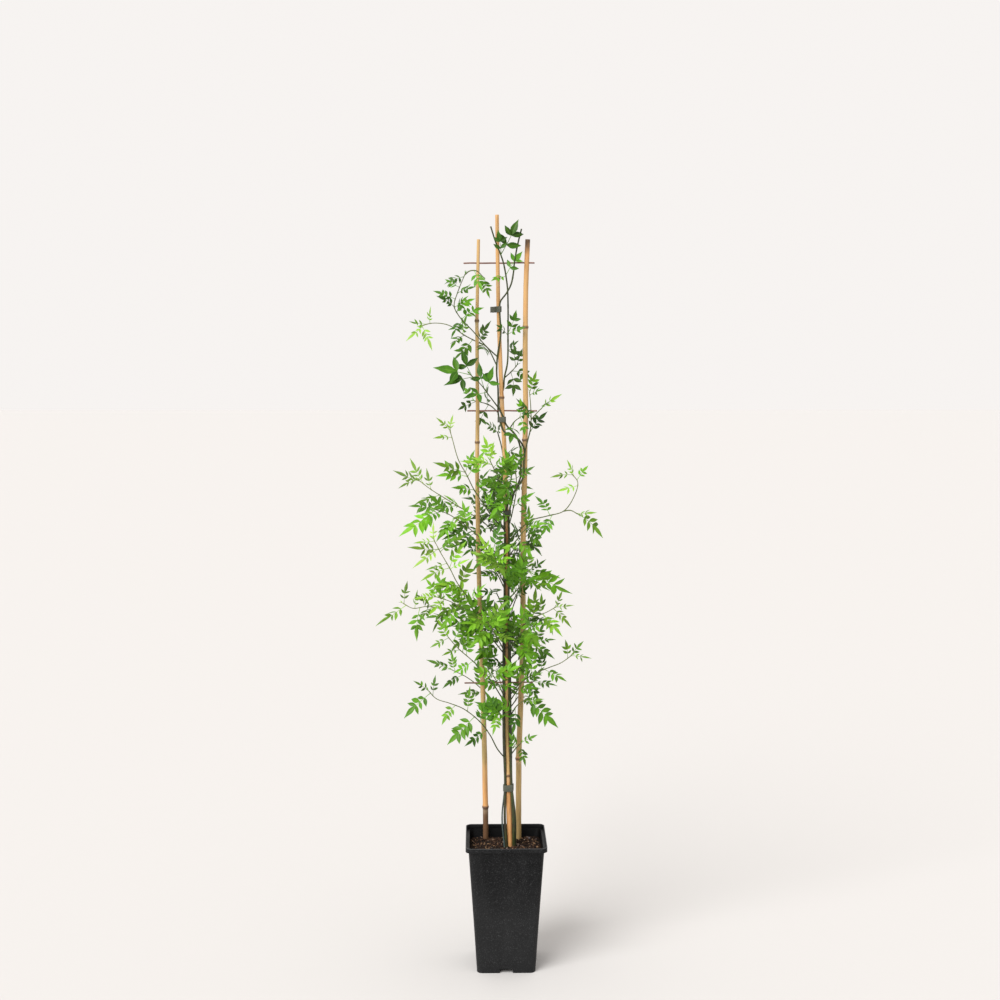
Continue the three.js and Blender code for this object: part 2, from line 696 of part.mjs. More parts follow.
// Further pairs of leaves, where they fit, in the parts of the crown that are dense in the photograph
const fillZones = [
  new THREE.Box3(v([-150, -98, 590]), v([6, 126, 650])),
  new THREE.Box3(v([-150, -98, 695]), v([6, 126, 775])),
  new THREE.Box3(v([-150, -98, 775]), v([-75, 126, 825])),
  new THREE.Box3(v([-44, -98, 440]), v([8, 126, 475])),
  new THREE.Box3(v([-44, -98, 540]), v([8, 126, 650])),
  new THREE.Box3(v([-118, -98, 650]), v([-64, 126, 700])),
  new THREE.Box3(v([-44, -98, 705]), v([8, 126, 770])),
  new THREE.Box3(v([-26, -98, 775]), v([14, 126, 900])),
  new THREE.Box3(v([-100, -98, 868]), v([-20, 126, 925])),
  new THREE.Box3(v([-128, -60, 1015]), v([-68, 80, 1090])),
  new THREE.Box3(v([-24, -98, 535]), v([48, 126, 590])),
  new THREE.Box3(v([14, -98, 690]), v([56, 126, 740])),
  new THREE.Box3(v([50, -98, 612]), v([98, 126, 655])),
];
const fillShares = [0.22, 0.4, 0.58, 0.76, 0.92];
const fillLength = 56;
const fillForward = 0.45;
const fillRise = [0.1, -0.4, 0.35];

// Where the leaf's upper side looks: out from the canes, and up to the light
function leafFacing(base, along) {
  const outward = base.y < 30 ? -0.8 : 0.8;
  const looks = new THREE.Vector3(Math.sign(base.x) * 0.25, outward, 0.6);
  return looks.addScaledVector(along, -looks.dot(along)).normalize();
}

// One leaf from its base to its tip. Grown makes it larger all round, to test its clearance.
function leafSolid(base, tip, facing, grown = 0) {
  const along = tip.clone().sub(base);
  const length = along.length() + grown;
  along.normalize();
  const across = facing.clone().cross(along);
  const half = Math.min(leafHalfWidth * length, widestLeaf) + grown;
  const spot = (share, side) => base.clone()
    .addScaledVector(along, share * length)
    .addScaledVector(across, side * half);
  const points = [
    spot(0, 0),
    ...leafSide.map(([share, side]) => spot(share, -side)),
    spot(1, 0),
    ...leafSide.toReversed().map(([share, side]) => spot(share, side)),
  ];
  const thick = leafThickness / 2 + grown;
  const top = spot(leafCentre, 0).addScaledVector(facing, thick);
  const bottom = spot(leafCentre, 0).addScaledVector(facing, -thick);
  const count = points.length;
  const faces = points.flatMap((_, i) => {
    const next = (i + 1) % count;
    return [count, i, next, count + 1, next, i];
  });
  const geometry = new THREE.BufferGeometry();
  const all = [...points, top, bottom].flatMap((p) => [p.x, p.y, p.z]);
  geometry.setAttribute('position', new THREE.Float32BufferAttribute(all, 3));
  geometry.setIndex(faces);
  return solid(geometry);
}

const boxesMeet = (a, b) => [0, 1, 2].every((k) => a.min[k] < b.max[k] && b.min[k] < a.max[k]);

// What has been placed already, each as its own solid with the piece that it belongs to
const placed = [];
const place = (owner, body) => placed.push({ owner, body, box: body.boundingBox() });
const meets = (body, wanted) => {
  const around = body.boundingBox();
  return placed.some((p) => wanted(p.owner) && boxesMeet(p.box, around)
    && !p.body.intersect(body).isEmpty());
};

// The ways a leaf may turn or shrink to find free space, the smallest change first
const leafWays = [];
for (const size of [1, 0.88, 0.76]) {
  for (const lift of [0, 14, -14, 28, -28, 42, -42]) {
    for (const swing of [0, 12, -12, 24, -24, 38, -38]) {
      for (const roll of [0, 30, -30, 60]) {
        const cost = Math.abs(lift) + Math.abs(swing) + Math.abs(roll) / 2 + (1 - size) * 160;
        leafWays.push({ size, lift, swing, roll, cost });
      }
    }
  }
}
leafWays.sort((a, b) => a.cost - b.cost);

function growLeaf(owner, base, wantedTip, shortest) {
  const wanted = wantedTip.clone().sub(base);
  wanted.setLength(Math.max(wanted.length(), shortest));
  const facing = leafFacing(wantedTip, wanted.clone().normalize());
  const side = facing.clone().cross(wanted).normalize();
  for (const way of leafWays) {
    const along = wanted.clone().multiplyScalar(way.size)
      .applyAxisAngle(side, degrees(way.lift))
      .applyAxisAngle(facing, degrees(way.swing));
    const axis = along.clone().normalize();
    const looks = facing.clone().addScaledVector(axis, -facing.dot(axis)).normalize()
      .applyAxisAngle(axis, degrees(way.roll));
    const tip = base.clone().add(along);
    // The stalk's first part lies in its own stem, so the clearance from that is tested further out
    const clearFrom = base.clone().addScaledVector(axis, leafStalk);
    const blocked = meets(leafSolid(base, tip, looks, gap), (name) => name !== owner)
      || meets(leafSolid(clearFrom, tip, looks, gap), (name) => name === owner);
    if (!blocked) return leafSolid(base, tip, looks);
  }
  return null;
}

const materials = {
  pot: new THREE.MeshStandardMaterial({ color: 0x1d1e20, roughness: 0.5, metalness: 0 }),
  soil: new THREE.MeshStandardMaterial({ color: 0x3a241b, roughness: 1, metalness: 0 }),
  stick: new THREE.MeshStandardMaterial({ color: 0x7c3f2b, roughness: 0.7, metalness: 0 }),
  tie: new THREE.MeshStandardMaterial({ color: 0x55685a, roughness: 0.6, metalness: 0 }),
  stem: new THREE.MeshStandardMaterial({ color: 0x33402a, roughness: 0.6, metalness: 0 }),
  shoot: new THREE.MeshStandardMaterial({ color: 0x4f9a2c, roughness: 0.5, metalness: 0 }),
};

const jasmine = new THREE.Group();

function addPiece(name, body, material) {
  const mesh = new THREE.Mesh(geometryOf(body), material.clone());
  mesh.name = name;
  jasmine.add(mesh);
}

// Main stems
function stemPoint(point, radius) {
  if (typeof point[0] === 'number') return v(point);
  const [cane, height, angle, extra] = point;
  return beside(cane, height, angle, radius, extra);
}

const stems = {};
for (const [name, spec] of Object.entries(mainStems)) {
  const [thick, thin] = spec.radii;
  const last = spec.route.length - 1;
  const points = spec.route.map((p, i) => stemPoint(p, THREE.MathUtils.lerp(thick, thin, i / last)));
  const line = smoothLine(points, stationsPerSpan);
  const low = line[0].z;
  const high = line.at(-1).z;
  stems[name] = {
    line,
    radius: (z) => THREE.MathUtils.mapLinear(z, low, high, thick, thin),
    solidWith: (extra) => bar(line, (t) => THREE.MathUtils.lerp(thick, thin, t) + extra, stemSides),
  };
}

// Cross sticks and the canes drilled for them
const stickBar = (s, radius) => bar([v(s.from), v(s.to)], () => radius, stickSides);

addPiece('pot', makePot(), materials.pot);

for (const [name, cane] of Object.entries(canes)) {
  let body = cane.solidWith(0);
  for (const s of sticks) body = body.subtract(stickBar(s, stickRadius + gap + barSlack));
  addPiece(`cane_${name}`, body, new THREE.MeshStandardMaterial({
    color: canePaths[name].color, roughness: 0.55, metalness: 0,
  }));
  place(name, cane.solidWith(gap));
}
for (const s of sticks) {
  addPiece(s.name, stickBar(s, stickRadius), materials.stick);
  place(s.name, stickBar(s, stickRadius + gap));
}

// Outline of a band drawn tight around round members, each [x, y, radius]
function bandOutline(members, slack) {
  const points = members.flatMap(([x, y, radius]) => Array.from({ length: tieSides }, (_, i) => {
    const turn = (i / tieSides) * 2 * Math.PI;
    const reach = (radius + slack) / Math.cos(Math.PI / tieSides);
    return [x + reach * Math.cos(turn), y + reach * Math.sin(turn)];
  }));
  points.sort((a, b) => a[0] - b[0] || a[1] - b[1]);
  const half = (list) => {
    const hull = [];
    for (const p of list) {
      while (hull.length > 1) {
        const [a, b] = hull.slice(-2);
        const turn = (b[0] - a[0]) * (p[1] - b[1]) - (b[1] - a[1]) * (p[0] - b[0]);
        if (turn > 1e-6) break;
        hull.pop();
      }
      hull.push(p);
    }
    return hull.slice(0, -1);
  };
  const outline = [...half(points), ...half(points.toReversed())];
  return outline.map(([x, y]) => new THREE.Vector2(x, y));
}

function makeTie(tie) {
  const cane = canes.middle.centre(tie.level);
  const members = [-0.5, 0, 0.5].flatMap((share) => {
    const z = tie.level + share * tieHeight;
    const centre = canes.middle.centre(z);
    return [
      [centre.x, centre.y, canes.middle.radius(z)],
      ...tie.stems.map((name) => {
        const at = pointAtHeight(stems[name].line, z);
        return [at.x, at.y, stems[name].radius(z)];
      }),
    ];
  });
  const slab = (outline, height) => solid(
    new THREE.ExtrudeGeometry(new THREE.Shape(outline), { depth: height, bevelEnabled: false })
      .translate(0, 0, tie.level - height / 2),
  );
  const outer = slab(bandOutline(members, tieSlack + tieThickness), tieHeight);
  const hole = slab(bandOutline(members, tieSlack), tieHeight + 2);
  if (!tie.flag) return outer.subtract(hole);
  const tab = new THREE.BoxGeometry(tie.flag, tieThickness * 1.6, tieHeight);
  const left = outer.boundingBox().min[0];
  tab.translate(left - tie.flag / 2 + tieThickness * 0.6, cane.y - 1, tie.level);
  return outer.add(solid(tab)).subtract(hole);
}

for (const tie of ties) {
  const body = makeTie(tie);
  addPiece(tie.name, body, materials.tie);
  place(tie.name, body);
}
for (const [name, stem] of Object.entries(stems)) place(name, stem.solidWith(gap));

// Shoots: all their limbs first, then the leaves, so that every leaf knows what it must clear
function limbStart(limb, before) {
  return limb.on ? pointAtHeight(stems[limb.on].line, limb.at) : pointAlong(before, limb.at);
}

const shootRadius = (t) => THREE.MathUtils.lerp(shootRadii[0], shootRadii[1], t);
const growing = [];
for (const [name, limbs] of Object.entries(shoots)) {
  const lines = [];
  for (const limb of limbs) {
    const points = [limbStart(limb, lines.at(-1)), ...limb.route.map(v)];
    lines.push(smoothLine(points, stationsPerSpan));
  }
  const together = (extra) => lines
    .map((line) => bar(line, (t) => shootRadius(t) + extra, shootSides))
    .reduce((all, one) => all.add(one));
  let body = together(0);
  for (const other of placed) {
    if (boxesMeet(other.box, body.boundingBox())) body = body.subtract(other.body);
  }
  place(name, together(gap));
  growing.push({ name, body, lines, limbs });
}

function addLeaves(owner, body, leaves, baseOf, shortestAt) {
  let grown = body;
  for (const [at, tip] of leaves) {
    const leaf = growLeaf(owner, baseOf(at), v(tip), shortestAt(at));
    if (!leaf) continue;
    grown = grown.add(leaf);
    place(owner, leaf);
  }
  return grown;
}

for (const [name, stem] of Object.entries(stems)) {
  const baseOf = (z) => pointAtHeight(stem.line, z);
  const body = addLeaves(
    name, stem.solidWith(0), mainStems[name].leaves, baseOf, () => shortestYoungLeaf,
  );
  addPiece(name, body, materials.stem);
}
const shortestOnShoot = (share) => THREE.MathUtils.lerp(
  shortestOldLeaf, shortestYoungLeaf, share ** 2,
);
const onLimb = (line) => (share) => pointAlong(line, Math.min(share, shootEnd));
for (const shoot of growing) {
  shoot.limbs.forEach((limb, i) => {
    shoot.body = addLeaves(
      shoot.name, shoot.body, limb.leaves, onLimb(shoot.lines[i]), shortestOnShoot,
    );
  });
}

// Tips of a pair of leaves that stand out to both sides of a limb
function fillLeaves(line) {
  return fillShares.flatMap((share, k) => {
    const base = onLimb(line)(share);
    const ahead = onLimb(line)(share + 0.05).clone().sub(base).normalize();
    const across = leafFacing(base, ahead).cross(ahead);
    return [-1, 1].map((side, n) => {
      const way = ahead.clone().multiplyScalar(fillForward).addScaledVector(across, side);
      way.z += fillRise[(k + n) % fillRise.length];
      const tip = way.setLength(fillLength).add(base);
      const middle = tip.clone().lerp(base, 0.4);
      return [share, tip.toArray(), fillZones.some((zone) => zone.containsPoint(middle))];
    });
  }).filter(([, , wanted]) => wanted);
}
for (const { name, body, lines } of growing) {
  let shoot = body;
  for (const line of lines) {
    shoot = addLeaves(name, shoot, fillLeaves(line), onLimb(line), shortestOnShoot);
  }
  addPiece(name, shoot, materials.shoot);
}

// Soil fills the pot, with room for the canes and stems that stand in it
function makeSoil() {
  const high = potHeight * 2;
  const above = box(4 * rimHalf, 4 * rimHalf, soilLevel, high);
  let soil = potInside(potWall + gap, potWall + gap).subtract(above);
  for (const cane of Object.values(canes)) soil = soil.subtract(cane.solidWith(gap));
  for (const stem of Object.values(stems)) soil = soil.subtract(stem.solidWith(gap));
  return soil;
}
addPiece('soil', makeSoil(), materials.soil);

export default jasmine;
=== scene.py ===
import bpy
import bmesh
import math
import random
from mathutils import Matrix, Vector, noise


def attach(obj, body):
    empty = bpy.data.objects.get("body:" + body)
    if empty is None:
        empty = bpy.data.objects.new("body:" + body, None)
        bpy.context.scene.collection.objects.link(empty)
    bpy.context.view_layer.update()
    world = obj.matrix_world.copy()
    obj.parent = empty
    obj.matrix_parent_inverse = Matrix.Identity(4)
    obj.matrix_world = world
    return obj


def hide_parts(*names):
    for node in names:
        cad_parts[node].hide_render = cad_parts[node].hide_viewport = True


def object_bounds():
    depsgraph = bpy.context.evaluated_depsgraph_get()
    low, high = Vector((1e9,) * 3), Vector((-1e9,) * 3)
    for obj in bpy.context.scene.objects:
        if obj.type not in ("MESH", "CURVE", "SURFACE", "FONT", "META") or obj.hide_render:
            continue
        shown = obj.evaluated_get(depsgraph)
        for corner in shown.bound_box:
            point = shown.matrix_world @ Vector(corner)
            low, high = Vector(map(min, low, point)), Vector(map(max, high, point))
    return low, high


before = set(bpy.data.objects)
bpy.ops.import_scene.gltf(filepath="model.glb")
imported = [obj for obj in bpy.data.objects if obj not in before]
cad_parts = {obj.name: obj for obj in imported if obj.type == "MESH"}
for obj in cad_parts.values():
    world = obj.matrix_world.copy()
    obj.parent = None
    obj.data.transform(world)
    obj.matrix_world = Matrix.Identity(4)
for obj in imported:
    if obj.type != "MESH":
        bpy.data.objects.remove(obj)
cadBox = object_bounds()
print("frame loaded with", len(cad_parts), "nodes")

mm = 0.001
draw = random.Random(23)  # every random choice comes from here, so each run is the same


# Camera: stands at the photograph's place, a little above the top of the canes

cameraSet = {
    "place": (-0.05195, -2.5952, 1.0706),
    "lens": 54,
    "lookDown": 5.315,  # degrees below the horizon
    "turnRight": 0.92,
}


def makeCamera():
    turn = (math.radians(90 - cameraSet["lookDown"]), 0, -math.radians(cameraSet["turnRight"]))
    bpy.ops.object.camera_add(location=cameraSet["place"], rotation=turn)
    camera = bpy.context.object
    camera.data.lens = cameraSet["lens"]
    bpy.context.scene.camera = camera


makeCamera()
print("camera placed")


# Small helpers for working as by hand

def only(piece):
    bpy.ops.object.select_all(action="DESELECT")
    piece.select_set(True)
    bpy.context.view_layer.objects.active = piece


def applyPlace(piece):
    only(piece)
    bpy.ops.object.transform_apply(location=True, rotation=True, scale=True)


def startEdit(piece, mode="FACE"):
    only(piece)
    bpy.ops.object.mode_set(mode="EDIT")
    bpy.ops.mesh.select_mode(type=mode)
    bpy.ops.mesh.select_all(action="DESELECT")


def endEdit():
    bpy.ops.object.mode_set(mode="OBJECT")


def pickAll():
    bpy.ops.mesh.select_all(action="SELECT")


def endOutward():
    pickAll()
    bpy.ops.mesh.normals_make_consistent(inside=False)
    endEdit()


# Adds one of Blender's basic shapes
def addShape(add, **settings):
    bpy.ops.object.select_all(action="DESELECT")
    add(**settings)
    return bpy.context.object


# Selects the faces whose middle and normal pass a test
def pickFaces(piece, test):
    bpy.ops.mesh.select_all(action="DESELECT")
    mesh = bmesh.from_edit_mesh(piece.data)
    for face in mesh.faces:
        face.select_set(test(face.calc_center_median(), face.normal))
    bmesh.update_edit_mesh(piece.data)


# Selects the edges whose two ends pass a test
def pickEdges(piece, test):
    bpy.ops.mesh.select_all(action="DESELECT")
    mesh = bmesh.from_edit_mesh(piece.data)
    for edge in mesh.edges:
        edge.select_set(test(edge.verts[0].co, edge.verts[1].co))
    bmesh.update_edit_mesh(piece.data)


def turned(z, x, y):
    return Matrix.Rotation(z, 4, "Z") @ Matrix.Rotation(x, 4, "X") @ Matrix.Rotation(y, 4, "Y")


# Extrudes what is picked by a vector, then sizes its end about a point
def pull(move, size=(1, 1, 1), about=(0, 0, 0)):
    bpy.ops.mesh.extrude_region_move(TRANSFORM_OT_translate={"value": move})
    bpy.ops.transform.resize(value=size, center_override=about)


def applyModifier(piece, kind, **settings):
    only(piece)
    step = piece.modifiers.new(kind.lower(), kind)
    for key, value in settings.items():
        setattr(step, key, value)
    bpy.ops.object.modifier_apply(modifier=step.name)


# Cuts one piece with another, or joins them, and throws the tool away
def booleanWith(piece, tool, how):
    applyModifier(piece, "BOOLEAN", object=tool, operation=how, solver="EXACT")
    bpy.data.objects.remove(tool)


def roundEdges(piece, width, angle):
    applyModifier(piece, "BEVEL", width=width, segments=2, limit_method="ANGLE",
                  angle_limit=math.radians(angle))


def smoothShade(piece, angle):
    only(piece)
    bpy.ops.object.shade_smooth_by_angle(angle=math.radians(angle))


# Gives every vertex a number that a material can read
def paintPoints(piece, name, valueAt):
    layer = piece.data.attributes.new(name, "FLOAT", "POINT")
    layer.data.foreach_set("value", [valueAt(vertex.co) for vertex in piece.data.vertices])


# Gives a finished piece its material, its CAD node and its body
def finishPiece(piece, name, material, slot, *nodes):
    piece.name = name
    piece.data.name = name
    piece.data.materials.clear()
    piece.data.materials.append(material)
    low, high = cadBox
    for vertex in piece.data.vertices:  # nothing may stand outside the CAD's own box
        vertex.co = [min(max(value, low[k]), high[k]) for k, value in enumerate(vertex.co)]
    if nodes:
        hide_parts(*nodes)
    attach(piece, "root")


# Material nodes

def newMaterial(name, roughness, shine):
    material = bpy.data.materials.new(name)
    material.use_nodes = True
    tree = material.node_tree
    shader = tree.nodes["Principled BSDF"]
    shader.inputs["Roughness"].default_value = roughness
    shader.inputs["Specular IOR Level"].default_value = shine
    return material, tree, shader


# Adds a node, with its sockets set to values or linked to other nodes' outputs
def addNode(tree, kind, sockets, **settings):
    node = tree.nodes.new("ShaderNode" + kind)
    for key, value in settings.items():
        setattr(node, key, value)
    for key, value in sockets.items():
        if isinstance(value, bpy.types.NodeSocket):
            tree.links.new(value, node.inputs[key])
        else:
            node.inputs[key].default_value = value
    return node


# The object's own coordinates, stretched along each axis
def stretched(tree, scale):
    place = addNode(tree, "TexCoord", {})
    return addNode(tree, "Mapping", {"Vector": place.outputs["Object"], "Scale": scale}).outputs[0]


def noiseOf(tree, scale, detail=3, roughness=0.55, stretch=(1, 1, 1)):
    place = stretched(tree, stretch)
    sockets = {"Vector": place, "Scale": scale, "Detail": detail, "Roughness": roughness}
    return addNode(tree, "TexNoise", sockets).outputs["Fac"]


def attributeOf(tree, name):
    return addNode(tree, "Attribute", {}, attribute_name=name).outputs["Fac"]


# A number from one range to another
def ranged(tree, value, low, high, toLow, toHigh):
    sockets = {0: value, 1: low, 2: high, 3: toLow, 4: toHigh}
    return addNode(tree, "MapRange", sockets).outputs[0]


def calculated(tree, how, a, b=0.0):
    return addNode(tree, "Math", {0: a, 1: b}, operation=how).outputs[0]


# A colour that changes with a number, through stops of place and colour
def rampOf(tree, value, stops):
    node = addNode(tree, "ValToRGB", {"Fac": value})
    band = node.color_ramp
    while len(band.elements) < len(stops):
        band.elements.new(0.5)
    for element, (place, colour) in zip(band.elements, stops):
        element.position = place
        element.color = (*colour, 1)
    return node.outputs["Color"]


def colourMix(tree, share, a, b, how="MIX"):
    node = tree.nodes.new("ShaderNodeMix")
    node.data_type = "RGBA"
    node.blend_type = how
    for key, value in ((0, share), (6, a), (7, b)):
        if isinstance(value, bpy.types.NodeSocket):
            tree.links.new(value, node.inputs[key])
        else:
            node.inputs[key].default_value = (*value, 1) if isinstance(value, tuple) else value
    return node.outputs[2]


def link(tree, output, shader, socket):
    tree.links.new(output, shader.inputs[socket])


def bumpFrom(tree, shader, height, strength, distance):
    sockets = {"Height": height, "Strength": strength, "Distance": distance}
    link(tree, addNode(tree, "Bump", sockets).outputs[0], shader, "Normal")


# Nursery pot: a thin tapered square pot with a rim band, channels and drain holes under it

potShape = {
    "height": 230 * mm,
    "rimHalf": 71 * mm,
    "rimHeight": 8 * mm,
    "topHalf": 66 * mm,  # the body just under the rim
    "baseHalf": 51.5 * mm,
    "wall": 1.6 * mm,
    "corner": 10 * mm,
    "cornerSteps": 8,
    "floor": 9 * mm,
    "channelWidth": 23 * mm,
    "channelHeight": 7 * mm,
    "footRadius": 16 * mm,
    "drainRadius": 4 * mm,
    "drainDistance": 30 * mm,
    "edgeRound": 0.6 * mm,
    "wallBow": 1.1 * mm,  # how far the thin walls are drawn in, half way up
}


def potPlastic():
    material, tree, shader = newMaterial("black_pot_plastic", 0.5, 0.11)
    cloud = noiseOf(tree, 22, 4)
    speck = noiseOf(tree, 750, 2)
    streak = noiseOf(tree, 60, 3, 0.6, (1, 1, 0.12))
    place = addNode(tree, "TexCoord", {}).outputs["Object"]
    height = addNode(tree, "SeparateXYZ", {0: place}).outputs["Z"]
    away = addNode(tree, "VectorMath", {0: place, 1: (0.014, 0, 0.205)}, operation="DISTANCE")
    low = ranged(tree, away.outputs["Value"], 0.075, 0.125, 0.0, 1.0)  # painted shade: darker round a point near the top, under the rim, and lighter away from it
    plain = rampOf(tree, cloud, [(0.3, (0.0025, 0.0027, 0.003)), (0.7, (0.0055, 0.0057, 0.0062))])
    dusty = colourMix(tree, ranged(tree, streak, 0.4, 0.8, 0.0, 0.4), plain, (0.018, 0.0185, 0.019))
    lower = colourMix(tree, calculated(tree, "MULTIPLY", low, 0.5), dusty, (0.020, 0.0205, 0.021))
    dots = ranged(tree, speck, 0.56, 0.70, 0.0, 0.75)
    dotted = colourMix(tree, dots, lower, (0.055, 0.056, 0.058))
    edge = ranged(tree, height, 0.2291, 0.2298, 0.0, 0.55)  # the rim's top is lighter: a painted highlight along its edge
    rimHighlighted = colourMix(tree, edge, dotted, (0.075, 0.076, 0.078))
    # painted shade: the inner walls are darkened almost to black
    shade = calculated(tree, "MULTIPLY", attributeOf(tree, "inside"), 0.85)
    link(tree, colourMix(tree, shade, rimHighlighted, (0.001, 0.001, 0.001)), shader, "Base Color")
    link(tree, ranged(tree, cloud, 0.3, 0.7, 0.38, 0.52), shader, "Roughness")
    grain = noiseOf(tree, 1500, 2)
    bumpFrom(tree, shader, calculated(tree, "ADD", grain, streak), 0.25, 0.0002)
    return material


def makePot():
    s = potShape
    flange = s["height"] - s["rimHeight"]
    pot = addShape(bpy.ops.mesh.primitive_cube_add, size=1, location=(0, 0, flange / 2))
    pot.scale = (2 * s["baseHalf"], 2 * s["baseHalf"], flange)
    applyPlace(pot)
    startEdit(pot)
    pickFaces(pot, lambda middle, normal: normal.z > 0.9)
    wider = s["topHalf"] / s["baseHalf"]
    bpy.ops.transform.resize(value=(wider, wider, 1), center_override=(0, 0, flange))
    bpy.ops.mesh.select_mode(type="EDGE")
    pickEdges(pot, lambda a, b: abs(a.z - b.z) > flange / 2)
    bpy.ops.mesh.bevel(offset=s["corner"], segments=s["cornerSteps"], affect="EDGES")
    bpy.ops.mesh.select_mode(type="FACE")
    pickFaces(pot, lambda middle, normal: normal.z > 0.9)
    inner = s["rimHalf"] - s["wall"]
    floorHalf = s["baseHalf"] + (s["topHalf"] - s["baseHalf"]) * s["floor"] / flange - s["wall"]
    turns = [  # half width and height of each edge that the face is drawn through
        (s["topHalf"], flange), (s["rimHalf"], flange), (s["rimHalf"], s["height"]),
        (inner, s["height"]), (inner, flange + s["wall"]),
        (s["topHalf"] - s["wall"], flange + s["wall"]), (floorHalf, s["floor"]),
    ]
    for (half, level), (nextHalf, nextLevel) in zip(turns, turns[1:]):
        size = nextHalf / half
        pull((0, 0, nextLevel - level), (size, size, 1), (0, 0, nextLevel))
    cutWalls(s, flange)
    endEdit()
    bowWalls(pot, s, flange)
    cutBase(pot, s)
    roundEdges(pot, s["edgeRound"], 42)
    smoothShade(pot, 40)
    paintPoints(pot, "inside", lambda spot: isInside(spot, s, flange))
    finishPiece(pot, "nursery_pot", potPlastic(), "pot_plastic", "pot")


# 1 for the wall's inner side, 0 for the outer side: the pot's material paints shade on the inner side
# with it
def isInside(spot, s, flange):
    if spot.z > s["height"] - 0.5 * mm or spot.z < s["floor"] - mm:
        return 0.0
    half = s["baseHalf"] + (s["topHalf"] - s["baseHalf"]) * min(spot.z, flange) / flange
    half = s["rimHalf"] if spot.z > flange + 0.5 * mm else half
    corner = Vector((max(abs(spot.x) - half + s["corner"], 0), max(abs(spot.y) - half + s["corner"], 0)))
    return float(corner.length < s["corner"] - 0.6 * s["wall"] - s["wallBow"] * (spot.z < flange))


# Cuts the walls into a grid, so that they can bow
def cutWalls(s, flange):
    steps = [(axis, share * s["baseHalf"]) for axis in (0, 1) for share in (-0.6, -0.3, 0, 0.3, 0.6)]
    steps += [(2, share * flange) for share in (0.14, 0.28, 0.42, 0.56, 0.7, 0.84)]
    for axis, distance in steps:
        point, normal = [0, 0, 0], [0, 0, 0]
        point[axis], normal[axis] = distance, 1
        pickAll()
        bpy.ops.mesh.bisect(plane_co=point, plane_no=normal)


def bowWalls(pot, s, flange):
    for vertex in pot.data.vertices:
        x, y, z = vertex.co
        half = s["baseHalf"] + (s["topHalf"] - s["baseHalf"]) * z / flange
        if z > flange - mm or max(abs(x), abs(y)) < half - 2 * s["wall"]:
            continue
        rise = math.sin(math.pi * z / flange)
        if abs(x) > abs(y):
            vertex.co.x -= math.copysign(s["wallBow"] * rise * math.cos(math.pi / 2 * y / half), x)
        else:
            vertex.co.y -= math.copysign(s["wallBow"] * rise * math.cos(math.pi / 2 * x / half), y)


# Channels that cross under the base and stop at the round foot, with a drain hole in each
def cutBase(pot, s):
    long = 3 * s["rimHalf"]
    bars = []
    for size in ((s["channelWidth"], long), (long, s["channelWidth"])):
        bar = addShape(bpy.ops.mesh.primitive_cube_add, size=1)
        bar.scale = (*size, 2 * s["channelHeight"])
        applyPlace(bar)
        bars.append(bar)
    channel, other = bars
    booleanWith(channel, other, "UNION")
    addRound = bpy.ops.mesh.primitive_cylinder_add
    foot = addShape(addRound, vertices=40, radius=s["footRadius"], depth=6 * s["channelHeight"])
    booleanWith(channel, foot, "DIFFERENCE")
    booleanWith(pot, channel, "DIFFERENCE")
    for quarter in range(4):
        x, y = Matrix.Rotation(quarter * math.pi / 2, 2) @ Vector((s["drainDistance"], 0))
        hole = addShape(addRound, vertices=24, radius=s["drainRadius"], depth=4 * s["floor"],
                        location=(x, y, 0))
        booleanWith(pot, hole, "DIFFERENCE")


makePot()
print("pot made")


# Potting soil: a crumbly surface, with loose bark and peat lying on it

soilShape = {
    "half": 62.8 * mm,
    "corner": 10 * mm,
    "level": 207.5 * mm,
    "depth": 12 * mm,
    "steps": 120,
    "mound": 2.5 * mm,
    "lump": 2.2 * mm,
    "crumb": 1.1 * mm,
    "scales": (35, 150, 520, 1100),  # noise of the mound, lumps, crumbs and dust
    "footSize": 0.975,  # width of the underside, of the top's
    "chips": 1500,
    "fibres": 150,
    "chipSizes": (1.5, 2, 2.6, 3.4, 4.6),
    "fibreSizes": (7, 15),
    "tones": (0.05, 0.15, 0.3, 0.4, 0.5, 0.62, 0.75, 0.9),
    "rimClear": 2.5 * mm,
}

# length, width and height of a lump, a flake, a splinter and a fibre
chipShapes = [(1, 0.75, 0.5), (1, 0.6, 0.28), (1, 0.4, 0.35), (1, 0.1, 0.1)]


def soilHeight(x, y):
    s = soilShape
    spot = Vector((x, y, 0))
    edge = max(abs(x), abs(y)) / s["half"]
    mound, lump, crumb, dust = (noise.noise(spot * scale) for scale in s["scales"])
    height = s["level"] + s["mound"] * (1 - edge * edge) + s["mound"] * mound
    height += s["lump"] * lump
    return height + s["crumb"] * (crumb + 0.6 * dust)


def soilColour():
    material, tree, shader = newMaterial("potting_soil", 0.92, 0.15)
    patch = noiseOf(tree, 180, 4)
    fine = noiseOf(tree, 1100, 3)
    dark = rampOf(tree, fine, [(0.3, (0.003, 0.002, 0.0015)), (0.7, (0.020, 0.012, 0.008))])
    red = rampOf(tree, fine, [(0.3, (0.008, 0.004, 0.003)), (0.7, (0.045, 0.022, 0.013))])
    link(tree, colourMix(tree, ranged(tree, patch, 0.42, 0.62, 0, 1), dark, red), shader, "Base Color")
    bumpFrom(tree, shader, fine, 0.9, 0.0008)
    return material


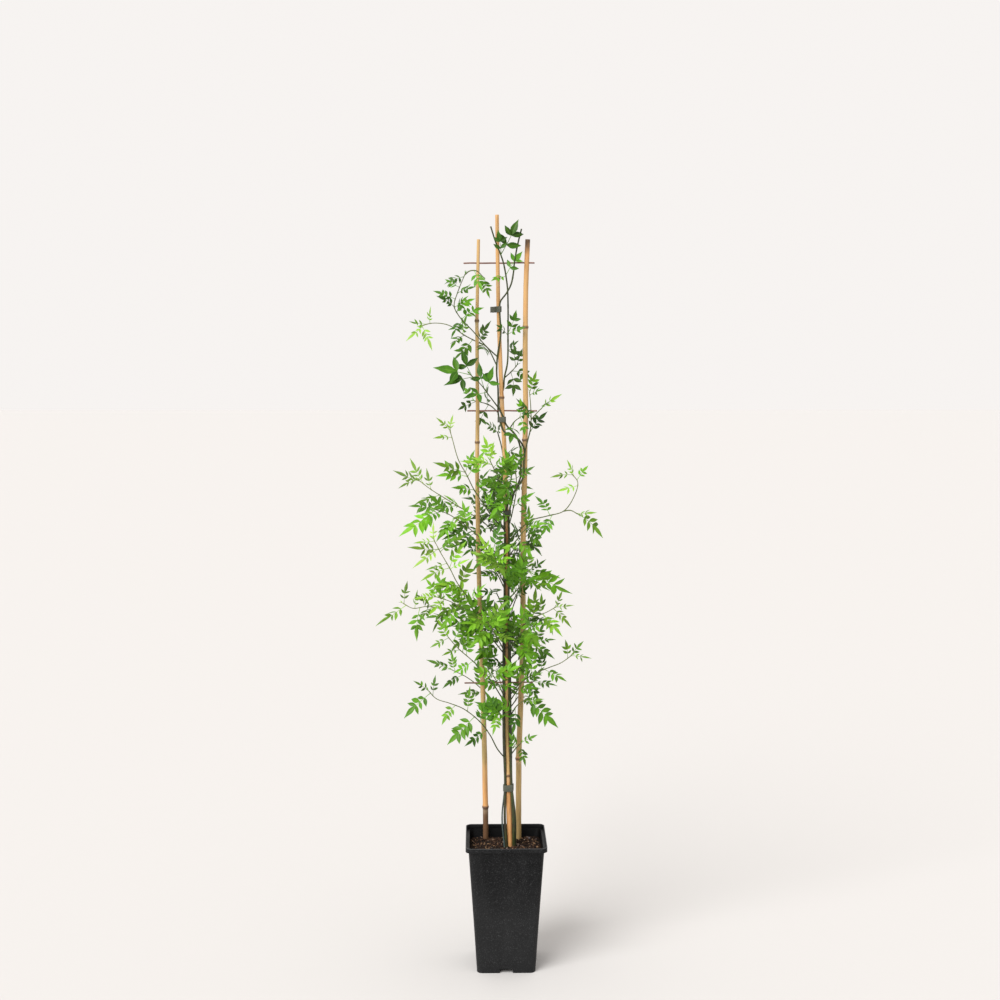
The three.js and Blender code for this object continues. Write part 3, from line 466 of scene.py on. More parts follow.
def chipColour():
    material, tree, shader = newMaterial("bark_and_peat", 0.85, 0.2)
    own = rampOf(tree, attributeOf(tree, "shade"), [
        (0.0, (0.004, 0.003, 0.002)), (0.35, (0.018, 0.010, 0.006)), (0.55, (0.060, 0.026, 0.015)),
        (0.75, (0.130, 0.070, 0.038)), (0.9, (0.32, 0.20, 0.11)), (1.0, (0.16, 0.14, 0.15)),
    ])
    grain = noiseOf(tree, 1400, 3)
    link(tree, colourMix(tree, 0.75, own, rampOf(tree, grain, [
        (0.3, (0.45, 0.42, 0.4)), (0.7, (1, 1, 1))]), "MULTIPLY"), shader, "Base Color")
    bumpFrom(tree, shader, grain, 0.6, 0.0004)
    return material


def makeSoil():
    s = soilShape
    soil = addShape(
        bpy.ops.mesh.primitive_grid_add, x_subdivisions=s["steps"], y_subdivisions=s["steps"],
        size=2 * s["half"], location=(0, 0, s["level"]))
    applyPlace(soil)
    startEdit(soil)
    pickAll()
    pull((0, 0, -s["depth"]), (s["footSize"], s["footSize"], 0), (0, 0, s["level"] - s["depth"]))
    endOutward()
    straight = s["half"] - s["corner"]
    for vertex in soil.data.vertices:
        x, y, z = vertex.co
        past = Vector((max(abs(x) - straight, 0), max(abs(y) - straight, 0)))
        if past.x > 0 and past.y > 0 and past.length > s["corner"]:
            past = past.normalized() * s["corner"]
            x, y = math.copysign(straight + past.x, x), math.copysign(straight + past.y, y)
        top = z > s["level"] - mm
        vertex.co = (x, y, soilHeight(x, y) if top else z)
    smoothShade(soil, 80)
    finishPiece(soil, "potting_soil", soilColour(), "potting_soil", "soil")


# One crumb of bark, modelled once for each shape
def makeChip(kind, size):
    lump = kind == 0
    chip = addShape(bpy.ops.mesh.primitive_ico_sphere_add, subdivisions=2 if lump else 1, radius=0.5)
    chip.scale = size
    applyPlace(chip)
    for vertex in chip.data.vertices:
        vertex.co *= 1 + 0.5 * noise.noise(vertex.co * 2.5 + Vector((kind * 7, 0, 0)))
    if lump:
        applyModifier(chip, "DECIMATE", ratio=0.35)
    chip.data.attributes.new("shade", "FLOAT", "POINT")
    return chip


# Adds a copy of a modelled shape to a growing mesh and returns the new vertices
def addCopy(mesh, shape, matrix):
    before = len(mesh.verts)
    mesh.from_mesh(shape.data)
    mesh.verts.ensure_lookup_table()
    added = mesh.verts[before:]
    bmesh.ops.transform(mesh, matrix=matrix, verts=added)
    return added


def meshPiece(mesh, name):
    data = bpy.data.meshes.new(name)
    mesh.to_mesh(data)
    mesh.free()
    piece = bpy.data.objects.new(name, data)
    bpy.context.scene.collection.objects.link(piece)
    return piece


def scatterChips():
    s = soilShape
    chips = [makeChip(kind, size) for kind, size in enumerate(chipShapes)]
    mesh = bmesh.new()
    shade = mesh.verts.layers.float.new("shade")
    reach = s["half"] - s["rimClear"]
    for k in range(s["chips"] + s["fibres"]):
        x, y = draw.uniform(-reach, reach), draw.uniform(-reach, reach)
        fibre = k >= s["chips"]
        size = draw.uniform(*s["fibreSizes"]) * mm if fibre else draw.choice(s["chipSizes"]) * mm
        size *= draw.uniform(0.8, 1.2)
        lie = turned(draw.uniform(0, 6.28), draw.gauss(0, 0.35), draw.gauss(0, 0.3))
        above = 0.4 * mm if fibre else 0.16 * size + 0.4 * mm
        place = Matrix.Translation((x, y, soilHeight(x, y) + above))
        shape = chips[-1] if fibre else draw.choice(chips[:-1])
        tone = draw.choice(s["tones"]) + draw.uniform(-0.05, 0.1)
        for vertex in addCopy(mesh, shape, place @ lie @ Matrix.Scale(size, 4)):
            vertex[shade] = tone
    for chip in chips:
        bpy.data.objects.remove(chip)
    finishPiece(meshPiece(mesh, "soil_chips"), "bark_chips", chipColour(), "potting_soil")


makeSoil()
scatterChips()
print("soil made")


# Lines and tubes, for the canes, sticks, stems and shoots

def between(a, b, share):
    return a + (b - a) * share


# A round tube along points, with a radius at each, closed at both ends
def makeTube(points, radii, sides=10):
    path = bpy.data.curves.new("tube", "CURVE")
    path.dimensions = "3D"
    path.bevel_depth = 1
    path.bevel_resolution = (sides - 4) // 2
    path.use_fill_caps = True
    line = path.splines.new("POLY")
    line.points.add(len(points) - 1)
    for spot, place, radius in zip(line.points, points, radii):
        spot.co = (*place, 1)
        spot.radius = radius
    tube = bpy.data.objects.new("tube", path)
    bpy.context.scene.collection.objects.link(tube)
    only(tube)
    bpy.ops.object.convert(target="MESH")
    tube = bpy.context.object
    startEdit(tube)
    pickAll()
    bpy.ops.mesh.remove_doubles(threshold=0.002 * mm)
    endOutward()
    return tube


# A smooth line through points, cut into short straight steps
def smoothLine(points, step=3 * mm):
    ends = [2 * points[0] - points[1], *points, 2 * points[-1] - points[-2]]
    line = [points[0]]
    for a, b, c, d in zip(ends, ends[1:], ends[2:], ends[3:]):
        knots = [math.sqrt(max((q - p).length, 1e-9)) for p, q in ((a, b), (b, c), (c, d))]
        before, here, after = knots
        leave = here * ((b - a) / before - (c - a) / (before + here) + (c - b) / here)
        arrive = here * ((c - b) / here - (d - b) / (here + after) + (d - c) / after)
        steps = max(2, round((c - b).length / step))
        for k in range(1, steps + 1):
            t = k / steps
            bend = (-3 * b + 3 * c - 2 * leave - arrive) * t * t
            line.append(b + leave * t + bend + (2 * b - 2 * c + leave + arrive) * t ** 3)
    return line


def distances(line):
    along = [0]
    for a, b in zip(line, line[1:]):
        along.append(along[-1] + (b - a).length)
    return along


def pointAtHeight(line, height):
    for a, b in zip(line, line[1:]):
        if (a.z - height) * (b.z - height) <= 0 and a.z != b.z:
            return a.lerp(b, (height - a.z) / (b.z - a.z))
    return line[-1]


def pointAlong(line, share):
    along = distances(line)
    goal = share * along[-1]
    for a, b, start, end in zip(line, line[1:], along, along[1:]):
        if end >= goal:
            return a.lerp(b, (goal - start) / (end - start))
    return line[-1]


def nearestOn(line, spot):
    best = None
    for k, (a, b) in enumerate(zip(line, line[1:])):
        share = min(1, max(0, (spot - a).dot(b - a) / (b - a).length_squared))
        place = a.lerp(b, share)
        if best is None or (spot - place).length < best[0]:
            best = ((spot - place).length, place, (k + share) / (len(line) - 1))
    return best


# Bamboo canes: points in mm from foot to top, thickness in mm, and the heights of the joints
# tones: 0 brown, 0.2 dark brown, 0.4 bright orange, 0.6 orange tan, 0.8 tan, 1 olive tan

caneShapes = {
    "left": {
        "points": [(-35, 53, 140), (-35, 52.5, 207), (-37, 48, 354), (-40, 42, 480), (-45, 37, 620),
            (-48, 33, 730), (-50, 29, 870), (-49, 28, 980), (-50, 28, 1141), (-47, 28, 1279)],
        "radii": (5.3, 2.9),
        "joints": [268, 513, 728, 928, 1139],
        "tones": [(0, 0.0), (262, 0.04), (272, 0.42), (340, 0.58), (360, 0.9), (510, 0.82), (520, 0.88),
            (725, 0.8), (735, 0.68), (925, 0.7), (935, 0.8), (1136, 0.85), (1145, 0.72), (1290, 0.66)],
    },
    "middle": {
        "points": [(11, -2, 40), (8, 3, 208), (5, 8, 300), (2, 14, 456), (2, 20, 593), (2, 23, 735),
            (1, 26, 818), (-2, 27, 914), (-5, 28, 970), (-8, 28, 1030), (-13, 28, 1175), (-15, 28, 1321)],
        "radii": (5.4, 3.4),
        "joints": [338, 566, 792, 1006, 1212],
        # the darker stretch of the middle cane from 530 to 760 mm is painted shade from the stems around
        # it
        "tones": [(0, 0.42), (300, 0.4), (335, 0.5), (345, 0.7), (470, 0.84), (530, 0.32), (760, 0.34),
            (800, 0.58), (1003, 0.58), (1010, 0.5), (1210, 0.56), (1330, 0.5)],
    },
    "right": {
        "points": [(24, 53, 140), (24, 52.5, 210), (24, 46, 359), (27, 42, 449), (31, 37, 570),
            (31, 33, 752), (33, 30, 850), (35, 28, 979), (34, 28, 1100), (35, 28, 1197), (38, 28, 1279)],
        "radii": (5.4, 4.4),
        "joints": [358, 547, 746, 932, 1128],
        "tones": [(0, 0.8), (350, 0.82), (357, 0.3), (366, 0.85), (545, 0.9), (552, 0.8), (744, 0.88),
            (750, 0.75), (930, 0.7), (936, 0.62), (1126, 0.72), (1134, 0.6), (1240, 0.5), (1266, 0.22),
            (1290, 0.1)],
    },
}

# in mm: lengths along the cane and changes of its radius
jointShape = {
    "rings": (-6, -3.5, -2, -1.2, -0.6, 0, 0.6, 1.2, 2, 3.5, 6),  # levels round each joint
    "swell": 1.2,
    "swellLength": 2.8,
    "groove": 0.3,
    "grooveLength": 0.9,
    "grooveDrop": 3,
    "darkLength": 3.4,
    "bloomDrop": 7,  # a pale waxy band just under each joint
    "bloomLength": 5,
}
caneShape = {"steps": 260, "wander": 0.35, "rough": 0.1, "thinner": 0.15, "hollow": 8, "wall": 0.36}


def caneAt(cane, height):
    s = caneShapes[cane]
    low, high = s["points"][0][2], s["points"][-1][2]
    share = (height - low) / (high - low)
    spot = pointAtHeight([Vector(point) for point in s["points"]], height)
    return spot, between(*s["radii"], share)


def bambooColour():
    material, tree, shader = newMaterial("bamboo", 0.5, 0.3)
    tone = attributeOf(tree, "tone")
    joint = attributeOf(tree, "joint")
    streak = noiseOf(tree, 1, 4, 0.6, (420, 420, 14))
    patch = noiseOf(tree, 1, 3, 0.6, (90, 90, 22))
    moved = calculated(tree, "ADD", tone, ranged(tree, patch, 0.25, 0.75, -0.09, 0.09))
    plain = rampOf(tree, moved, [
        (0.0, (0.150, 0.080, 0.042)), (0.2, (0.095, 0.055, 0.028)), (0.4, (0.58, 0.30, 0.115)),
        (0.6, (0.55, 0.34, 0.145)), (0.8, (0.45, 0.31, 0.130)), (1.0, (0.34, 0.27, 0.110)),
    ])
    streaks = rampOf(tree, streak, [
        (0.3, (0.42, 0.34, 0.28)), (0.45, (0.9, 0.87, 0.84)), (0.7, (1.15, 1.15, 1.12))])
    lined = colourMix(tree, 0.8, plain, streaks, "MULTIPLY")
    ring = ranged(tree, joint, 0.35, 0.95, 0, 0.85)
    ringed = colourMix(tree, ring, lined, (0.075, 0.036, 0.024))
    pale = ranged(tree, attributeOf(tree, "bloom"), 0, 1, 0, 0.3)
    link(tree, colourMix(tree, pale, ringed, (0.45, 0.36, 0.24)), shader, "Base Color")
    link(tree, ranged(tree, streak, 0.3, 0.7, 0.5, 0.34), shader, "Roughness")
    bumpFrom(tree, shader, streak, 0.35, 0.0004)
    return material


# Value at a place in a list of (place, value) stops
def stopsAt(stops, place):
    for (a, low), (b, high) in zip(stops, stops[1:]):
        if place <= b:
            return between(low, high, min(1, max(0, (place - a) / (b - a))))
    return stops[-1][1]


def makeCane(name, material):
    s, whole, ring = caneShapes[name], caneShape, jointShape
    low, high = s["points"][0][2], s["points"][-1][2]
    levels = {low + k * (high - low) / whole["steps"] for k in range(whole["steps"] + 1)}
    for joint in s["joints"]:
        levels |= {joint + step for step in ring["rings"]}
    levels = sorted(level for level in levels if low <= level <= high)
    points, radii = [], []
    for level in levels:
        spot, radius = caneAt(name, level)
        sway = [noise.noise((level / 60, row, len(name))) for row in (1, 5)]
        near = min((level - joint for joint in s["joints"]), key=abs)
        swell = ring["swell"] * math.exp(-(near / ring["swellLength"]) ** 2)
        groove = ring["groove"] * math.exp(-((near + ring["grooveDrop"]) / ring["grooveLength"]) ** 2)
        radius += swell - groove
        points.append((spot + whole["wander"] * Vector((*sway, 0))) * mm)
        rough = whole["rough"] * noise.noise((level / 25, 9, 0))
        radii.append((radius - whole["thinner"] + rough) * mm)
    cane = makeTube(points, radii, 20)
    startEdit(cane)
    pickFaces(cane, lambda middle, normal: normal.z > 0.8 and middle.z > (high - 1) * mm)
    bpy.ops.mesh.inset(thickness=radii[-1] * whole["wall"])
    pull((0, 0, -whole["hollow"] * mm))
    endEdit()
    roundEdges(cane, 0.25 * mm, 60)

    def nearJoint(spot, drop, length):
        away = min(abs(spot.z / mm - joint + drop) for joint in s["joints"])
        return math.exp(-(away / length) ** 2)

    paintPoints(cane, "tone", lambda spot: stopsAt(s["tones"], spot.z / mm))
    paintPoints(cane, "joint", lambda spot: nearJoint(spot, 0, ring["darkLength"]))
    paintPoints(cane, "bloom", lambda spot: nearJoint(spot, ring["bloomDrop"], ring["bloomLength"]))
    smoothShade(cane, 40)
    finishPiece(cane, f"bamboo_cane_{name}", material, "bamboo", f"cane_{name}")


bamboo = bambooColour()
for caneName in caneShapes:
    makeCane(caneName, bamboo)
print("canes made")


# Cross sticks: thin round sticks pushed through holes in the canes

stickShapes = {
    "top": ((-73, 28, 1238), (50, 28, 1239)),
    "middle": ((-67, 28, 983), (55, 28, 983)),
    "bottom": ((-73, 42.5, 497), (49, 38.7, 499)),
}
stickShape = {"radius": 1.35, "rough": 0.2, "sway": 0.5, "steps": 40}


def stickColour():
    material, tree, shader = newMaterial("stick_wood", 0.6, 0.5)
    streak = noiseOf(tree, 1, 4, 0.6, (60, 700, 700))
    link(tree, rampOf(tree, streak, [
        (0.25, (0.06, 0.022, 0.016)), (0.5, (0.17, 0.072, 0.05)), (0.75, (0.28, 0.15, 0.10)),
    ]), shader, "Base Color")
    bumpFrom(tree, shader, streak, 0.4, 0.0003)
    return material


def makeStick(name, material):
    s = stickShape
    start, end = (Vector(point) for point in stickShapes[name])
    points, radii = [], []
    for k in range(s["steps"] + 1):
        sway = [noise.noise((k / 9, row, len(name))) for row in (3, 8)]
        points.append((start.lerp(end, k / s["steps"]) + s["sway"] * Vector((0, *sway))) * mm)
        radii.append((s["radius"] + s["rough"] * noise.noise((k / 3, 5, len(name)))) * mm)
    stick = makeTube(points, radii, 12)
    roundEdges(stick, 0.2 * mm, 60)
    smoothShade(stick, 40)
    finishPiece(stick, f"thin_stick_{name}", material, "stick_wood", f"cross_stick_{name}")


wood = stickColour()
for stickName in stickShapes:
    makeStick(stickName, wood)
print("cross sticks made")


# Main stems: beside a cane a point is its height, the angle round the cane and any gap, and where
# the stem is free it is (x, y, z), in mm. wood: 0 young green, 1 old and brown, at the foot and at
# the top; grey: bluish bark near the soil

stemRoutes = {
    "main_stem_1": {
        "radii": (2.2, 1.3), "wood": (0.45, 0.15), "grey": 0.0,
        "route": [
            ("middle", [(160, 320), (210, 322), (262, 325, 1), (316, 318), (450, 308), (593, 300),
                (690, 300), (760, 310), (804, 320)]),
            ("free", [(14, 18, 838)]),
            ("right", [(868, 205, 0.6), (890, 202, 0.6), (914, 195, 0.6)]),
            ("free", [(18, 21, 940)]),
            ("middle", [(958, 330, 0.5), (973, 275, 0.5), (988, 205), (1003, 130), (1020, 55),
                (1040, 0)]),
            ("free", [(3, 26, 1066), (4, 24, 1120), (4, 22, 1165), (3, 21, 1195), (0, 20, 1218),
                (-4, 19, 1238), (-9, 18, 1253), (-18, 17, 1275), (-26, 17, 1300)]),
        ],
    },
    "main_stem_2": {
        "radii": (2.0, 1.4), "wood": (0.55, 0.2), "grey": 0.0,
        "route": [
            ("middle", [(160, 215), (210, 215), (262, 208, 1.5), (316, 222), (450, 226), (593, 232),
                (690, 232), (760, 240), (804, 250)]),
            ("free", [(12, 11, 838)]),
            ("right", [(868, 252, 0.6), (892, 255, 0.6), (916, 258, 0.6)]),
            ("free", [(20, 14, 936)]),
            ("middle", [(947, 280, 1), (964, 215), (980, 165, 1.8), (1000, 125, 5), (1022, 120, 5),
                (1048, 175, 1), (1070, 200), (1088, 240), (1104, 275), (1122, 300), (1142, 292),
                (1160, 292), (1172, 310)]),
            ("free", [(1, 18, 1186), (9, 16, 1201), (13, 16, 1220), (15, 16, 1240), (21, 16, 1272),
                (27, 16, 1296)]),
        ],
    },
    "main_stem_3": {
        "radii": (1.3, 1.0), "wood": (0.6, 0.3), "grey": 1.0,
        "route": [
            ("middle", [(160, 180), (210, 184, 3), (262, 184, 6), (316, 178), (400, 178, 1),
                (500, 176, 0.5), (593, 178, 1), (640, 190, 3)]),
            ("free", [(-16, 12, 664)]),
        ],
    },
    "main_stem_4": {
        "radii": (1.4, 1.0), "wood": (0.35, 0.15), "grey": 0.2,
        "route": [
            ("middle", [(160, 0), (210, 5, 2), (262, 2, 4), (316, 358), (400, 4, 0.5), (500, 0, 0.5),
                (593, 8, 1), (630, 0, 3)]),
            ("free", [(20, 12, 660)]),
        ],
    },
    "main_stem_5": {
        "radii": (1.9, 1.1), "wood": (0.75, 0.3), "grey": 0.0,
        "route": [
            ("middle", [(160, 92), (210, 95), (316, 92), (450, 95), (593, 98), (690, 96), (804, 100),
                (860, 112), (912, 118, 2)]),
            ("free", [(-14, 44, 946)]),
        ],
    },
}

stemShape = {
    "clear": 0.55,  # between a cane and the stem beside it
    "firstKnot": 30,
    "knotEvery": (45, 75),
    "knotLength": 2.2,
    "knotSwell": 0.16,
    "footSwell": 0.3,  # thicker where it leaves the soil
    "footLevel": 50,
    "footLength": 80,
    "greyTop": 260,
}


def stemPoint(cane, step, radius):
    if cane == "free":
        return Vector(step)
    height, angle, *gap = step
    spot, caneRadius = caneAt(cane, height)
    reach = caneRadius + radius + stemShape["clear"] + sum(gap)
    turn = math.radians(angle)
    return spot + reach * Vector((math.cos(turn), math.sin(turn), 0))


def stemLine(stem):
    steps = [(cane, step) for cane, part in stem["route"] for step in part]
    points = []
    for k, (cane, step) in enumerate(steps):
        radius = between(*stem["radii"], k / (len(steps) - 1))
        points.append(stemPoint(cane, step, radius) * mm)
    return smoothLine(points, 4 * mm)


stemLines = {name: stemLine(stem) for name, stem in stemRoutes.items()}


def barkColour():
    material, tree, shader = newMaterial("stem_bark", 0.42, 0.35)
    streak = noiseOf(tree, 1, 4, 0.6, (600, 600, 40))
    patch = noiseOf(tree, 90, 3)
    green = rampOf(tree, streak, [(0.3, (0.006, 0.016, 0.005)), (0.7, (0.062, 0.078, 0.016))])
    brown = rampOf(tree, streak, [(0.3, (0.009, 0.006, 0.006)), (0.7, (0.048, 0.030, 0.023))])
    wood = calculated(tree, "ADD", attributeOf(tree, "wood"), ranged(tree, patch, 0.3, 0.7, -0.25, 0.25))
    grown = colourMix(tree, ranged(tree, wood, 0.25, 0.75, 0, 1), green, brown)
    grey = rampOf(tree, streak, [(0.3, (0.025, 0.038, 0.045)), (0.7, (0.095, 0.15, 0.145))])
    link(tree, colourMix(tree, attributeOf(tree, "grey"), grown, grey), shader, "Base Color")
    bumpFrom(tree, shader, streak, 0.5, 0.0004)
    return material


def makeStem(name, material):
    s, look, line = stemShape, stemRoutes[name], stemLines[name]
    thick, thin = look["radii"]
    along = distances(line)
    radii, knots = [], []
    spot = s["firstKnot"] * mm
    while spot < along[-1]:  # a slight swelling wherever a pair of leaves once grew
        knots.append(spot)
        spot += draw.uniform(*s["knotEvery"]) * mm
    for distance in along:
        knot = min((distance - knot for knot in knots), key=abs)
        swell = s["knotSwell"] * math.exp(-(knot / (s["knotLength"] * mm)) ** 2)
        past = max(0, distance - s["footLevel"] * mm)
        foot = s["footSwell"] * math.exp(-past / (s["footLength"] * mm))
        radii.append(between(thick, thin, distance / along[-1]) * (0.97 + swell + foot) * mm)
    stem = makeTube(line, radii, 12)
    top = line[-1].z
    paintPoints(stem, "wood", lambda spot: between(*look["wood"], spot.z / top))
    paintPoints(stem, "grey", lambda spot: look["grey"] * min(
        1, max(0, 1.6 - spot.z / (s["greyTop"] * mm))))
    smoothShade(stem, 50)
    finishPiece(stem, name.replace("main_stem", "climbing_stem"), material, "main_stem", name)


bark = barkColour()
for stemName in stemLines:
    makeStem(stemName, bark)
print("main stems made")


# Ties: green tape wound round the middle cane and the stems that it holds

tieShapes = {
    "top": {"level": 1159, "stems": [2], "high": 10, "flag": 11},
    "upper": {"level": 968, "stems": [1, 2], "high": 9, "flag": 0},
    "centre": {"level": 804, "stems": [1, 2, 5], "high": 9, "flag": 0},
    "lower": {"level": 690, "stems": [1, 2, 5], "high": 9, "flag": 0},
    "bottom": {"level": 316, "stems": [1, 2, 3, 4, 5], "high": 12, "flag": 0},
}
tapeShape = {
    "slack": 0.5,
    "thick": 1.1,
    "flagThick": 1.6,
    "flagWave": 1.2,
    "rows": 3,
    "rough": 0.9,
    "slant": 0.07,  # how much the tape climbs to the right
}


def tapeColour():
    material, tree, shader = newMaterial("tie_tape", 0.6, 0.5)
    weave = noiseOf(tree, 1, 3, 0.6, (300, 300, 1500))
    link(tree, rampOf(tree, weave, [(0.3, (0.030, 0.036, 0.024)), (0.7, (0.095, 0.100, 0.070))]),
         shader, "Base Color")
    bumpFrom(tree, shader, weave, 0.7, 0.0005)
    return material


# The outline of a band pulled tight round a few circles
def outline(circles):
    spots = []
    for middle, radius in circles:
        for k in range(24):
            turn = k / 24 * 2 * math.pi
            spots.append((middle.x + radius * math.cos(turn), middle.y + radius * math.sin(turn)))
    spots = sorted(set(spots))
    edge = []
    for row in (spots, spots[::-1]):
        part = []
        for spot in row:
            while len(part) > 1:
                (ax, ay), (bx, by) = part[-2:]
                if (bx - ax) * (spot[1] - ay) - (by - ay) * (spot[0] - ax) > 1e-12:
                    break
                part.pop()
            part.append(spot)
        edge += part[:-1]
    return edge


def makeTie(name, material):
    s, own = tapeShape, tieShapes[name]
    level, high = own["level"] * mm, own["high"] * mm
    spot, radius = caneAt("middle", own["level"])
    circles = [(spot * mm, (radius + s["slack"]) * mm)]
    for number in own["stems"]:
        stem = f"main_stem_{number}"
        radius = between(*stemRoutes[stem]["radii"], 0.6) + s["slack"]
        circles.append((pointAtHeight(stemLines[stem], level), radius * mm))
    edge = outline(circles)
    mesh = bmesh.new()
    ring = [mesh.verts.new((x, y, level - high / 2)) for x, y in edge]
    for a, b in zip(ring, ring[1:] + ring[:1]):
        mesh.edges.new((a, b))
    band = meshPiece(mesh, "tie")
    startEdit(band, "EDGE")
    for k in range(s["rows"]):
        top = level + (k / s["rows"] - 0.5) * high
        pickEdges(band, lambda a, b: min(a.z, b.z) > top - 0.1 * mm)
        pull((0, 0, high / s["rows"]))
    endOutward()
    applyModifier(band, "SOLIDIFY", thickness=s["thick"] * mm, offset=1, use_even_offset=True)
    if own["flag"]:
        addFlag(band, own["flag"] * mm, high, level, min(edge))
    for vertex in band.data.vertices:  # tape never lies quite flat
        rough = s["rough"] * mm * noise.noise(vertex.co * 260)
        vertex.co.z += rough + s["slant"] * (vertex.co.x - spot.x * mm)
    roundEdges(band, 0.25 * mm, 50)
    smoothShade(band, 50)
    finishPiece(band, f"tape_tie_{name}", material, "tie_tape", f"tie_{name}")


# The loose end of the tape, folded back on itself and standing out to the left
def addFlag(band, flag, high, level, corner):
    x, y = corner
    piece = addShape(bpy.ops.mesh.primitive_grid_add, x_subdivisions=6, y_subdivisions=3, size=1)
    piece.scale = (flag, high, 1)
    piece.rotation_euler = (math.radians(90), 0, 0)
    piece.location = (x - flag / 2 + mm, y + 0.2 * mm, level)
    applyPlace(piece)
    for vertex in piece.data.vertices:
        vertex.co.y += tapeShape["flagWave"] * mm * math.sin((vertex.co.x - x) / flag * 3)
    applyModifier(piece, "SOLIDIFY", thickness=tapeShape["flagThick"] * mm, offset=0)
    only(band)
    piece.select_set(True)
    bpy.ops.object.join()


tape = tapeColour()
for tieName in tieShapes:
    makeTie(tieName, tape)
print("ties made")


# Shoots, in order on each side: number of the main stem and height where it starts, youth of its
# leaves at its foot and tip (0 old and dark, 0.5 bright, 1 just opened), and its points in mm

shootRoutes = {
    "left": [
        (2, 1077, (0.3, 0.42), [(-34, 14, 1095), (-56, 8, 1120), (-81, 4, 1147), (-89, 0, 1164),
            (-82, -4, 1189), (-70, -6, 1218)]),
        (2, 1062, (0.35, 0.8), [(-33, 38, 1094), (-52, 42, 1104), (-71, 40, 1114), (-100, 34, 1132),
            (-128, 28, 1135), (-147, 24, 1130)]),
        (1, 986, (0.15, 0.25), [(-28, 4, 1009), (-44, -4, 1030), (-62, -10, 1047)]),
        (2, 980, (0.2, 0.35), [(-27, 38, 992), (-45, 46, 998), (-55, 50, 1000)]),
        (2, 774, (0.35, 0.8), [(-24, 4, 800), (-40, -2, 824), (-56, -8, 849), (-68, -14, 874),
            (-82, -18, 900), (-92, -22, 935), (-97, -24, 953)]),
        (5, 742, (0.45, 0.95), [(-31, 40, 779), (-50, 46, 793), (-97, 46, 822), (-133, 44, 845),
            (-155, 44, 862)]),
        (2, 716, (0.35, 0.5), [(-31, -6, 751), (-71, -16, 787), (-100, -22, 807), (-124, -26, 816)]),
        (3, 582, (0.5, 0.85), [(-38, -10, 620), (-61, -24, 654), (-85, -40, 691), (-96, -46, 714),
            (-112, -52, 743), (-124, -54, 766)]),
        (5, 525, (0.45, 0.9), [(-22, 42, 545), (-42, 56, 562), (-81, 58, 602), (-114, 56, 628),
            (-140, 56, 633), (-165, 56, 630), (-183, 58, 639)]),
        (3, 557, (0.45, 0.7), [(-28, -14, 592), (-59, -20, 629), (-94, -26, 654), (-120, -30, 664)]),
        (3, 473, (0.4, 0.65), [(-31, 2, 517), (-59, -4, 547), (-84, -8, 570), (-101, -10, 590)]),
        (5, 430, (0.35, 0.5), [(-20, 42, 456), (-38, 58, 478), (-67, 62, 502), (-96, 62, 517)]),
        (2, 370, (0.35, 0.5), [(-15, -8, 390), (-28, -16, 417), (-46, -24, 443), (-74, -30, 467),
            (-98, -34, 478), (-121, -38, 487), (-135, -40, 502)]),
    ],
    "right": [
        (2, 908, (0.25, 0.6), [(38, 17, 930), (43, 15, 952), (44, 14, 969), (43, 12, 995),
            (41, 10, 1016)]),
        (1, 1040, (0.15, 0.3), [(11, 38, 1052), (20, 44, 1062)]),
        (1, 952, (0.3, 0.4), [(16, 8, 966), (25, 0, 973)]),
        (1, 756, (0.35, 0.65), [(25, 4, 778), (45, -2, 794), (72, -8, 802), (100, -12, 811),
            (117, -14, 835), (124, -12, 861), (114, -10, 875)]),
        (1, 678, (0.5, 0.6), [(22, 14, 692), (40, 18, 702)]),
        (4, 581, (0.55, 0.8), [(25, 2, 603), (47, -4, 622), (72, -10, 634), (87, -12, 643)]),
        (5, 535, (0.3, 0.5), [(14, 42, 546), (30, 54, 556), (55, 56, 569)]),
        (4, 483, (0.4, 0.65), [(28, 0, 508), (56, -8, 527), (77, -14, 537), (96, -16, 545),
            (115, -18, 559)]),
        (5, 448, (0.3, 0.5), [(16, 42, 462), (32, 58, 480), (51, 60, 496)]),
        (4, 446, (0.35, 0.5), [(21, -4, 468), (37, -8, 479)]),
        (4, 376, (0.4, 0.55), [(20, 6, 390), (27, 4, 398)]),
    ],
    "front": [
        (2, 818, (0.45, 0.75), [(0, 0, 838), (-12, -14, 866), (-28, -34, 900)]),
        (1, 782, (0.4, 0.55), [(12, -4, 812), (18, -14, 852), (16, -22, 885)]),
        (1, 742, (0.4, 0.55), [(18, -12, 760), (28, -30, 776), (36, -42, 786)]),
        (2, 680, (0.45, 0.7), [(-10, -20, 700), (-16, -44, 722), (-20, -62, 738)]),
        (1, 652, (0.4, 0.55), [(16, -14, 670), (28, -36, 688)]),
        (2, 560, (0.45, 0.7), [(-14, -22, 588), (-26, -48, 612), (-34, -64, 628)]),
        (1, 560, (0.4, 0.55), [(20, -20, 590), (34, -44, 612)]),
        (2, 480, (0.4, 0.55), [(-12, -20, 505), (-22, -44, 528)]),
        (1, 470, (0.4, 0.55), [(20, -18, 498), (30, -38, 520)]),
        (2, 432, (0.4, 0.55), [(-8, -14, 450), (-14, -30, 458)]),
    ],
    "back": [
        (5, 822, (0.1, 0.3), [(8, 58, 850), (14, 82, 874)]),
        (5, 772, (0.1, 0.3), [(-20, 62, 796), (-38, 86, 812)]),
        (5, 720, (0.1, 0.3), [(22, 56, 744), (44, 78, 762)]),
        (5, 662, (0.1, 0.3), [(-14, 60, 690), (-30, 88, 708)]),
        (5, 626, (0.1, 0.3), [(18, 58, 650), (30, 84, 668)]),
        (5, 572, (0.1, 0.3), [(-22, 56, 598), (-42, 82, 614)]),
        (5, 548, (0.1, 0.3), [(20, 62, 582), (42, 84, 598)]),
        (5, 466, (0.1, 0.3), [(-8, 54, 494), (-16, 80, 510)]),
    ],
}

